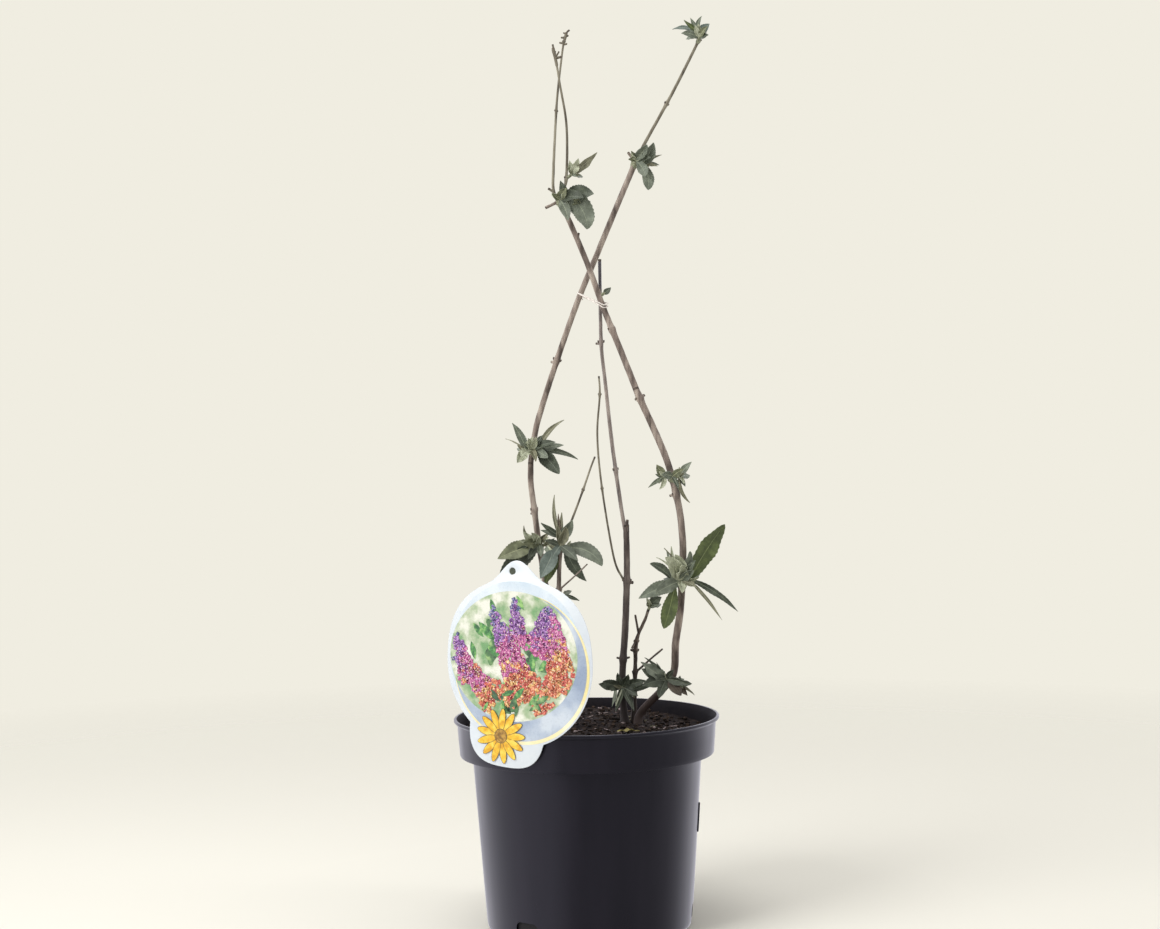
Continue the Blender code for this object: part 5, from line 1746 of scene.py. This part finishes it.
@dataclass
class Soil:
    """Loose potting soil with crumbs, bark chips, straws and a fallen yellow leaf."""

    pot: Pot
    level: float = 166.5 * MM
    steps: int = 144
    rings: int = 64
    swell: float = 2.6 * MM
    crumbs: int = 1500
    chips: int = 90
    mounds: tuple[tuple[float, float, float, float], ...] = (
        (-15, 75, 48, 4.2), (85, 25, 45, -3.0), (33, 20, 26, 1.4),
    )
    leaf_place: Triple = (25 * MM, -40 * MM, 0)

    @property
    def radius(self) -> float:
        """Radius of the soil's top."""
        return self.pot.band_foot_radius - self.pot.wall - 2 * GAP

    def height_at(self, place: Vector) -> float:
        """Height of the uneven top: lumps, crumbs, and mounds of (x, y, spread, rise) in millimetres.

        Args:
            place: the place to look over.

        Returns:
            The height there.
        """
        lumps = noise.fractal(Vector((place.x, place.y, 0)) / (22 * MM), 0.9, 2.1, 4)
        fine = noise.fractal(Vector((place.x, place.y, 3 * MM)) / (4 * MM), 0.8, 2.1, 3)
        heap = sum(
            rise * math.exp(-((place.x - x * MM) ** 2 + (place.y - y * MM) ** 2) / (spread * MM) ** 2)
            for x, y, spread, rise in self.mounds
        )
        return self.level + self.swell * (0.55 * lumps + 0.32 * fine) + heap * MM

    def build_heap(self) -> None:
        """Builds the body of soil, its top uneven, its sides and bottom in painted shade."""
        pot, wall = self.pot, self.pot.wall
        below = [
            (pot.band_foot_radius - wall - 3 * GAP, pot.band_foot + wall + 1.6 * MM),
            (pot.body_top_radius - wall - 3 * GAP, pot.band_foot + wall - 1 * MM),
            (pot.body_foot_radius - wall - 2 * GAP, pot.corner_height + GAP),
            (pot.underside_radius - wall - 2 * GAP, wall + GAP),
            (0, wall + GAP),
        ]
        top = [(self.radius * number / self.rings, self.level) for number in range(self.rings + 1)]
        shape = spun(top + below, self.steps)
        for corner in shape.verts:
            if corner.co.z > self.level - 0.1 * MM:
                corner.co.z = self.height_at(corner.co)
        # Faces below the band's lower edge take the painted shade.
        for face in shape.faces:
            face.material_index = face.calc_center_median().z < pot.band_foot
        finished("soil_heap", shape, [SOIL, PAINTED_SHADE_SOIL], "soil", ("potting_soil",), 80)

    def scattered(self, draw: random.Random, room: float) -> Vector:
        """A seeded place on the top.

        Args:
            draw: the random numbers.
            room: its least distance from the wall.

        Returns:
            The place.
        """
        reach = (self.radius - room) * math.sqrt(draw.random())
        turn = draw.uniform(0, math.tau)
        place = Vector((reach * math.cos(turn), reach * math.sin(turn), 0))
        place.z = self.height_at(place)
        return place

    def build_crumbs(self) -> None:
        """Scatters peat crumbs over the top as one piece."""
        draw = random.Random(5)
        gathered = Gathered()
        for _ in range(self.crumbs):
            size = 0.6 * MM + 2.2 * MM * draw.random() ** 3
            place = self.scattered(draw, size + 1 * MM) + UP * (0.3 * size)
            stretch = Matrix.Diagonal((draw.uniform(0.7, 1.3), draw.uniform(0.7, 1.3), 0.7, 1))
            with gathered.part() as part:
                bmesh.ops.create_icosphere(
                    part, subdivisions=1, radius=size, matrix=Matrix.Translation(place) @ stretch,
                )
                for corner in part.verts:
                    corner.co = place + (corner.co - place) * draw.uniform(0.8, 1.2)
                shade = 1 if draw.random() < 0.03 else 0
                for face in part.faces:
                    face.material_index = shade
        finished("soil_crumbs", gathered.shape, [CRUMB, CHIP], "soil", (), 30)

    def build_chips(self) -> None:
        """Strews splinters of bark and pale straws over the top as one piece."""
        draw = random.Random(9)
        gathered = Gathered()
        for number in range(self.chips):
            length = draw.uniform(2.5, 8) * MM
            place = self.scattered(draw, length) + UP * (0.5 * MM)
            size = Matrix.Diagonal((length, length * draw.uniform(0.12, 0.4), 0.7 * MM, 1))
            turn = Matrix.Rotation(draw.uniform(0, math.tau), 4, "Z")
            turn = turn @ Matrix.Rotation(draw.uniform(-0.35, 0.35), 4, "Y")
            with gathered.part() as part:
                bmesh.ops.create_cube(part, size=1, matrix=size)
                for corner in part.verts:
                    corner.co *= draw.uniform(0.75, 1.15)
                round_edges(part, part.edges, 0.15 * MM, 1)
                bmesh.ops.transform(part, matrix=Matrix.Translation(place) @ turn, verts=part.verts)
                for face in part.faces:
                    face.material_index = number % 6 == 0
        finished("soil_chips", gathered.shape, [CHIP, STRAW], "soil", (), 30)

    def build_fallen_leaf(self) -> None:
        """Lays a yellowing leaf on the soil in front of the stems."""
        shape = bmesh.new()
        place = Vector(self.leaf_place)
        place.z = self.height_at(place) + 1.6 * MM
        leaf = Leaf(0, 0, 0, 0, 19, 6, YELLOW, CRUMPLED, roll=-80)
        Blade(leaf, place, 3.0).grow(shape, 0)
        finished("fallen_leaf", shape, YELLOW.finishes(), "leaf", (), 65)

    def build(self) -> None:
        """Builds everything that lies in the pot."""
        self.build_heap()
        self.build_crumbs()
        self.build_chips()
        self.build_fallen_leaf()


class Ink(Enum):
    """Printed colours of the label: three tones each and the size of their patches in millimetres."""

    SKY = ("c3d2de", "ced9e2", "dae3e9", 26)
    YELLOW_EDGE = ("e3d493", "ecdfae", "f3eac6", 30)
    CRESCENT = ("8b99b0", "a4b1c3", "c5ced8", 30)
    GROUND = ("6f9a66", "a9b996", "e3e3d6", 13)
    SHADE = ("2c4a30", "517a49", "98b878", 8)
    LEAF = ("2a5a30", "4d8a48", "93bd70", 4)
    BLUE_FLORET = ("2d2f50", "4d4f7e", "9794bd", 1.5)
    PURPLE_FLORET = ("57316a", "86519a", "c39fd0", 1.5)
    MAGENTA_FLORET = ("85335f", "b85490", "e3a6c6", 1.5)
    ORANGE_FLORET = ("96472f", "cd7250", "ecb08c", 1.5)
    RED_FLORET = ("85302a", "bb4c40", "dd8470", 1.5)
    YELLOW_FLORET = ("b07a42", "d9a866", "efd3a0", 1.5)
    FLORET_EDGE = ("8c84a6", "bcb3cc", "e6e0ea", 1.5)
    FLORET_EYE = ("e6cfa6", "f1e3c8", "f8f2e4", 1.5)
    OUTLINE = ("4a3c1c", "5d4c24", "75622f", 3)
    PETAL = ("d29a1d", "e8b92c", "f2d057", 5)
    HEART = ("7a5a1c", "9c7427", "bd9440", 2)

    @property
    def index(self) -> int:
        """The ink's material index."""
        return list(Ink).index(self)

    def finish(self) -> Finish:
        """The ink's finish, glossy like the card."""
        dark, main, light, patch = self.value
        return Finish(f"print_{self.name.lower()}", dark, main, light, 0.3, patch * MM, 2 * MM, 0.01)


@dataclass(frozen=True)
class FlowerSpike:
    """A printed cone of florets, in millimetres from the card's centre and degrees."""

    foot: Pair
    angle: float
    length: float
    half_width: float
    first: float = 0.0
    last: float = 1.0

    def spot(self, share: float, across: float) -> Vector:
        """Place on the cone.

        Args:
            share: share of its length.
            across: -1 at one side, 1 at the other.

        Returns:
            The place on the card.
        """
        taper = (1 - share) ** 0.62 * (0.75 + 0.25 * math.sin(math.pi * min(1, share * 3 + 0.2)))
        along, aside = self.length * share, self.half_width * taper * across
        flat = turned_spot(self.foot, along, aside, math.radians(self.angle))
        return Vector([way * MM for way in flat])

    def ink(self, share: float, draw: random.Random) -> Ink:
        """Ink of a floret: orange at the foot, through magenta and purple to blue at the tip.

        Args:
            share: share of the cone's length.
            draw: the random numbers.

        Returns:
            The ink.
        """
        inks = (
            draw.choice((Ink.ORANGE_FLORET, Ink.YELLOW_FLORET)), Ink.RED_FLORET,
            draw.choice((Ink.ORANGE_FLORET, Ink.YELLOW_FLORET)), Ink.MAGENTA_FLORET,
            Ink.MAGENTA_FLORET, Ink.PURPLE_FLORET, Ink.PURPLE_FLORET, Ink.BLUE_FLORET,
        )
        tone = self.first + (self.last - self.first) * share + draw.uniform(-0.11, 0.11)
        return inks[min(len(inks) - 1, max(0, int(tone * len(inks))))]


SPIKES = [
    FlowerSpike((2, 16), 98, 38, 11, 0.5, 1.0),
    FlowerSpike((16, 8), 72, 46, 14, 0.5, 1.0),
    FlowerSpike((-44, -14), 112, 48, 11, 0.3, 1.0),
    FlowerSpike((-20, -30), 141, 56, 15, 0.1, 0.95),
    FlowerSpike((40, -24), 97, 68, 19, 0.0, 0.66),
    FlowerSpike((8, -30), 113, 84, 20, 0.0, 1.0),
    FlowerSpike((14, -38), 12, 34, 9, 0.0, 0.3),
]


@dataclass
class CardPrint:
    """The card's printed front: its ground with leaves, cones of florets and a daisy, in layers of ink."""

    front: float
    centre: Pair = (-5 * MM, 6 * MM)
    radii: Pair = (58.5 * MM, 52 * MM)
    ink_step: float = 0.05 * MM
    shade_patches: int = 26
    leaves: int = 34
    florets_per_area: float = 0.255
    front_leaves: int = 24
    daisy: Pair = (-17 * MM, -58 * MM)
    petals: int = 13
    cone_layer: int = 9
    front_layer: int = 14
    daisy_layer: int = 16
    draw: random.Random = field(default_factory=lambda: random.Random(21))
    sheet: Gathered = field(default_factory=Gathered)

    def inside(self, spot: Vector, margin: float) -> bool:
        """Whether a place lies in the printed oval, a margin from its edge."""
        across, up = ((spot[way] - self.centre[way]) / (self.radii[way] - margin) for way in (0, 1))
        return across**2 + up**2 < 1

    def strewn(
        self, count: int, across: Pair, up: Pair, sizes: Pair, margin: float,
    ) -> Iterator[tuple[int, Vector, float]]:
        """Strews seeded spots over the print and passes on those inside it.

        Args:
            count: spots to draw.
            across: span of their places across, in millimetres like the rest.
            up: span of their places up.
            sizes: span of their sizes.
            margin: room to leave beyond their size.

        Yields:
            The spot's number, its place and its size.
        """
        for number in range(count):
            spot = Vector((self.draw.uniform(*across), self.draw.uniform(*up))) * MM
            size = self.draw.uniform(*sizes) * MM
            if self.inside(spot, size + margin * MM):
                yield number, spot, size

    def lay(self, edge: list[Vector], layer: int, ink: Ink) -> None:
        """Prints one flat shape.

        Args:
            edge: its outline.
            layer: its place in the pile of inks, counted from the card.
            ink: its colour.
        """
        with self.sheet.part() as part:
            bmesh.ops.create_circle(part, segments=len(edge), radius=1, cap_ends=True)
            for corner, spot in zip(part.verts, edge):
                corner.co = (spot[0], spot[1], self.front + layer * self.ink_step)
            for face in part.faces:
                face.material_index = ink.index
                face.normal_update()
                if face.normal.z < 0:
                    face.normal_flip()

    def print_ground(self) -> None:
        """Prints the rim, the crescent, the pale ground with its shade and the leaves."""
        self.lay(oval((-2 * MM, 4 * MM), (61.5 * MM, 62 * MM), 160), 1, Ink.SKY)
        self.lay(oval((2 * MM, -4 * MM), (62 * MM, 60 * MM), 160), 2, Ink.YELLOW_EDGE)
        self.lay(oval((1 * MM, -2.8 * MM), (60.6 * MM, 58.6 * MM), 160), 3, Ink.CRESCENT)
        self.lay(oval(self.centre, self.radii, 160), 4, Ink.GROUND)
        for number, spot, size in self.strewn(self.shade_patches, (-40, 50), (-44, 30), (5, 10), 2):
            angle = self.draw.uniform(0, math.pi)
            self.lay(oval(spot, (size, 0.6 * size), 24, angle, 0.12), 5 + number % 2, Ink.SHADE)
        for number, spot, size in self.strewn(self.leaves, (-55, 50), (-42, 54), (6, 11), 1):
            angle = math.radians(self.draw.uniform(40, 170))
            self.lay(oval(spot, (size, 0.34 * size), 20, angle, 0, 1), 7 + number % 2, Ink.LEAF)

    def print_spike(self, spike: FlowerSpike) -> None:
        """Prints one cone of florets, each on a disc of a deeper tone.

        Args:
            spike: the cone.
        """
        count = round(self.florets_per_area * spike.length * spike.half_width)
        for number in range(count):
            share = (1 - math.sqrt(1 - (number + 0.5) / count)) ** 0.82
            spot = spike.spot(share, self.draw.uniform(-1, 1))
            if not self.inside(spot, 2.2 * MM):
                continue
            size = self.draw.uniform(1.7, 2.4) * MM * (1 - 0.3 * share)
            angle = self.draw.uniform(0, math.pi)
            shade = Ink.BLUE_FLORET if share > 0.6 else Ink.PURPLE_FLORET
            if share < 0.3:
                shade = Ink.RED_FLORET
            if self.draw.random() < 0.2 + 0.4 * share:
                shade = Ink.FLORET_EDGE
            self.lay(oval(spot, (size, size), 8), self.cone_layer, shade)
            petals = oval(spot, (size, size), 16, angle, 0.3)
            self.lay(petals, self.cone_layer + 1 + number % 3, spike.ink(share, self.draw))
            if number % 4 == 0:
                self.lay(oval(spot, (0.4 * MM, 0.4 * MM), 6), self.cone_layer + 4, Ink.FLORET_EYE)

    def print_front_leaves(self) -> None:
        """Prints leaves over the feet of the cones."""
        for number, spot, size in self.strewn(self.front_leaves, (-38, 46), (-42, -22), (4, 8), 0):
            leaf = oval(spot, (size, 0.32 * size), 20, math.radians(self.draw.uniform(20, 160)), 0, 1)
            self.lay(leaf, self.front_layer + number % 2, self.draw.choice((Ink.LEAF, Ink.SHADE)))

    def print_daisy(self) -> None:
        """Prints the outlined yellow daisy on the lobe."""
        for number in range(self.petals):
            turn = math.tau * number / self.petals
            middle = Vector(self.daisy) + Vector((math.cos(turn), math.sin(turn))) * (13 * MM)
            layer = self.daisy_layer + 2 * (number % 2)
            self.lay(oval(middle, (9.4 * MM, 3.3 * MM), 22, turn, 0, 0.15), layer, Ink.OUTLINE)
            self.lay(oval(middle, (9 * MM, 2.85 * MM), 22, turn, 0, 0.15), layer + 1, Ink.PETAL)
        for step, radius, ink in ((4, 5.9 * MM, Ink.OUTLINE), (5, 5.4 * MM, Ink.HEART)):
            self.lay(oval(self.daisy, (radius, radius), 30), self.daisy_layer + step, ink)

    def build(self, placing: Matrix) -> None:
        """Prints everything as one piece.

        Args:
            placing: the card's place.
        """
        self.print_ground()
        for spike in SPIKES:
            self.print_spike(spike)
        self.print_front_leaves()
        self.print_daisy()
        bmesh.ops.transform(self.sheet.shape, matrix=placing, verts=self.sheet.shape.verts)
        finished("label_print", self.sheet.shape, [ink.finish() for ink in Ink], "label_card", (), 40)


@dataclass
class LabelCard:
    """Round plastic card with a printed flower design, hooked over the rim."""

    pot: Pot
    bearing: float = -28
    centre_height: float = 233 * MM
    radius: float = 66.5 * MM
    shoulder: float = 4.5 * MM
    tab_height: float = 16 * MM
    tab_spread: float = 13
    lobe_centre: Pair = (-12 * MM, -50 * MM)
    lobe_radius: float = 35 * MM
    scallop: float = 0.06
    scallops: int = 9
    thickness: float = 0.6 * MM
    edge_round: float = 0.12 * MM
    sharp: float = 1.2
    points: int = 288
    hole: Pair = (-4 * MM, 74 * MM)
    hole_radius: float = 3 * MM
    hole_points: int = 28
    clip_size: Triple = (22 * MM, 6.9 * MM, 7.5 * MM)

    def reach(self, turn: float) -> float:
        """Distance from the card's centre to its edge.

        Args:
            turn: angle in radians.

        Returns:
            The distance.
        """
        top = math.degrees(turn) - 90
        disc = self.radius + self.tab_height * math.exp(-((top / self.tab_spread) ** 2))
        if math.sin(turn) > 0:
            disc += self.shoulder * math.sin(2 * turn) ** 2
        across, up = self.lobe_centre
        along = across * math.cos(turn) + up * math.sin(turn)
        aside = across * math.sin(turn) - up * math.cos(turn)
        wavy = 1 + self.scallop * math.cos(self.scallops * turn)
        half_chord = (self.lobe_radius * wavy) ** 2 - aside**2
        lobe = along + math.sqrt(half_chord) if half_chord > 0 and along > 0 else 0
        return max(disc, lobe)

    def placing(self) -> Matrix:
        """Brings the card's plane, x across, y up and z outwards, to its place at the rim.

        Returns:
            The transform.
        """
        outward = bearing_direction(self.bearing)
        across = Vector((-outward.y, outward.x, 0))
        turn = Matrix((across, UP, outward)).transposed().to_4x4()
        origin = outward * (self.pot.rim_radius + GAP) + UP * self.centre_height
        return Matrix.Translation(origin) @ turn

    def build_plate(self) -> None:
        """Builds the white card with its hole and its hook."""
        shape = bmesh.new()
        turns = [math.tau * number / self.points for number in range(self.points)]
        edge = [Vector((math.cos(turn), math.sin(turn))) * self.reach(turn) for turn in turns]
        for loop in (edge, oval(self.hole, (self.hole_radius, self.hole_radius), self.hole_points)):
            ring = bmesh.ops.create_circle(shape, segments=len(loop), radius=1)["verts"]
            for corner, spot in zip(ring, loop):
                corner.co = (spot[0], spot[1], 0)
        bmesh.ops.triangle_fill(shape, use_beauty=True, edges=shape.edges, normal=(0, 0, 1))
        grown = bmesh.ops.extrude_face_region(shape, geom=list(shape.faces))["geom"]
        top = [item for item in grown if isinstance(item, BMVert)]
        bmesh.ops.translate(shape, vec=(0, 0, self.thickness), verts=top)
        bmesh.ops.recalc_face_normals(shape, faces=shape.faces)
        ridge = [item for item in shape.edges if item.calc_face_angle(0) > self.sharp]
        round_edges(shape, ridge, self.edge_round, 2)
        across, drop, fall = self.clip_size
        hook_height = self.pot.height + GAP + self.thickness / 2 - self.centre_height
        tongue_height = hook_height + self.thickness / 2 - fall / 2
        for size, place in (
            ((across, self.thickness, drop), (0, hook_height, self.thickness / 2 - drop / 2)),
            ((across, fall, self.thickness), (0, tongue_height, self.thickness - drop)),
        ):
            made = bmesh.ops.create_cube(shape, size=1)["verts"]
            bmesh.ops.scale(shape, vec=size, verts=made)
            bmesh.ops.translate(shape, vec=place, verts=made)
        bmesh.ops.transform(shape, matrix=self.placing(), verts=shape.verts)
        finished("label_plate", shape, [CARD_WHITE], "label_card", ("label_card",), 40)

    def build(self) -> None:
        """Builds the card and its print."""
        self.build_plate()
        CardPrint(self.thickness).build(self.placing())


@dataclass(frozen=True)
class Softbox:
    """A soft light: its place, its width and height, its power in watts and the height it aims at."""

    place: Triple
    size: Pair
    power: float
    aim: float


SOFTBOXES = {
    "left_softbox": Softbox((-1.6, -1.2, 1.3), (1.1, 1.3), 34, 0.35),
    "right_softbox": Softbox((1.9, -0.3, 0.9), (0.5, 1.4), 8, 0.3),
    "top_softbox": Softbox((-0.3, -0.3, 2.3), (1.2, 1.2), 14, 0.3),
}


@dataclass
class Studio:
    """Pale floor that fades into a cream backdrop, soft lights and the photograph's camera."""

    backdrop: str = "f0ede1"
    floor_tone: str = "f0ede2"
    floor_radius: float = 4.0
    solid_radius: float = 0.35
    faded_radius: float = 1.7
    ambient: float = 0.52
    ambient_tone: tuple[float, ...] = (1.0, 0.99, 0.97, 1)
    panel: float = 1.7
    panel_tone: tuple[float, ...] = (0.92, 0.91, 1.0, 1)
    between: float = 0.75
    panels: tuple[tuple[str, float, float], ...] = (
        ("X", -0.34, -0.5), ("Y", -0.05, 0.75), ("Z", 0.5, 0.95),
    )
    focal_pixels: float = 1731.2
    image_width: float = 1160
    sensor: float = 36
    camera_place: Triple = (-0.0016, -1.478, 0.391)
    camera_roll: float = 0.0182

    def build_floor(self) -> None:
        """Lays the floor, plain near the pot and fading out far from it."""
        shape = bmesh.new()
        bmesh.ops.create_circle(shape, cap_ends=True, segments=96, radius=self.floor_radius)
        floor = as_object("floor", shape)
        material = bpy.data.materials.new("pale_floor")
        nodes = Nodes(material)
        place = nodes.add("TexCoord", {}).outputs["Object"]
        away = nodes.add("VectorMath", {0: place}, operation="LENGTH").outputs["Value"]
        fade = nodes.span(away, self.solid_radius, self.faded_radius, 1, 0)
        nodes.shade(Alpha=fade, Roughness=0.9, Base_Color=linear(self.floor_tone))
        floor.data.materials.append(material)
        floor.visible_glossy = False

    def build_backdrop(self) -> None:
        """Fills the world: cream for the camera, even light, and pale panels for shiny surfaces."""
        world = bpy.context.scene.world = bpy.data.worlds.new("studio")
        nodes = Nodes(world)
        place = nodes.add("TexCoord", {}).outputs["Generated"]
        ways = nodes.add("SeparateXYZ", {"Vector": place}).outputs
        glare = self.between
        for axis, low, high in self.panels:
            panel = nodes.span(
                ways[axis], low, high, self.between, self.panel, interpolation_type="SMOOTHSTEP",
            )
            glare = nodes.add("Math", {0: glare, 1: panel}, operation="MAXIMUM").outputs[0]
        seen = {"Color": linear(self.backdrop)}
        glossy = {"Color": self.panel_tone, "Strength": glare}
        shown = nodes.add("Background", {"Color": self.ambient_tone, "Strength": self.ambient}).outputs[0]
        rays = nodes.add("LightPath", {}).outputs
        for kind, tone in (("Is Glossy Ray", glossy), ("Is Camera Ray", seen)):
            light = nodes.add("Background", tone).outputs[0]
            shown = nodes.add("MixShader", {0: rays[kind], 1: shown, 2: light}).outputs[0]
        nodes.put(nodes.tree.nodes["World Output"].inputs["Surface"], shown)

    def build_light(self, name: str, box: Softbox) -> None:
        """Hangs one soft light.

        Args:
            name: the light's name.
            box: its place, size, power and aim.
        """
        lamp = bpy.data.lights.new(name, "AREA")
        lamp.shape = "RECTANGLE"
        lamp.size, lamp.size_y = box.size
        lamp.energy = box.power
        holder = bpy.data.objects.new(name, lamp)
        holder.location = box.place
        holder.rotation_euler = (UP * box.aim - Vector(box.place)).to_track_quat("-Z", "Y").to_euler()
        bpy.context.scene.collection.objects.link(holder)

    def build_camera(self) -> None:
        """Sets up the photograph's camera."""
        lens = bpy.data.cameras.new("photograph")
        lens.sensor_fit = "HORIZONTAL"
        lens.sensor_width = self.sensor
        lens.lens = self.focal_pixels / self.image_width * self.sensor
        camera = bpy.data.objects.new("photograph", lens)
        turn = Matrix.Rotation(math.pi / 2, 4, "X") @ Matrix.Rotation(-self.camera_roll, 4, "Z")
        camera.matrix_world = Matrix.Translation(self.camera_place) @ turn
        bpy.context.scene.collection.objects.link(camera)
        bpy.context.scene.camera = camera

    def build(self) -> None:
        """Sets the stage."""
        self.build_floor()
        self.build_backdrop()
        for name, box in SOFTBOXES.items():
            self.build_light(name, box)
        self.build_camera()
        bpy.context.scene.view_settings.view_transform = "Standard"


class Bush:
    """The plant: its stems, its leafy shoots and the string that ties it."""

    def __init__(self) -> None:
        """Works out every limb's centre line."""
        self.axes = {name: Axis(limb) for name, limb in LIMBS.items()}

    def build(self) -> None:
        """Builds stems, string, shoots and leaves in order."""
        for name, axis in self.axes.items():
            Stem(name, axis, STUBS.get(name, [])).build()
        StringTie().build(self.axes)
        taken: list[Room] = []
        for name, shoot in SHOOTS.items():
            Tuft(name, shoot, self.axes).build(taken, (name,))
        for name, shoot in CROWNS.items():
            Tuft(name, shoot, self.axes).build(taken, ())


def main() -> None:
    """Builds the potted plant and its studio."""
    noise.seed_set(NOISE_SEED)
    pot = Pot()
    pot.build()
    Soil(pot).build()
    LabelCard(pot).build()
    Bush().build()
    Studio().build()
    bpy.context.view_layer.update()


if __name__ == "__main__":
    logging.basicConfig(level=logging.INFO, format="%(message)s")
    main()
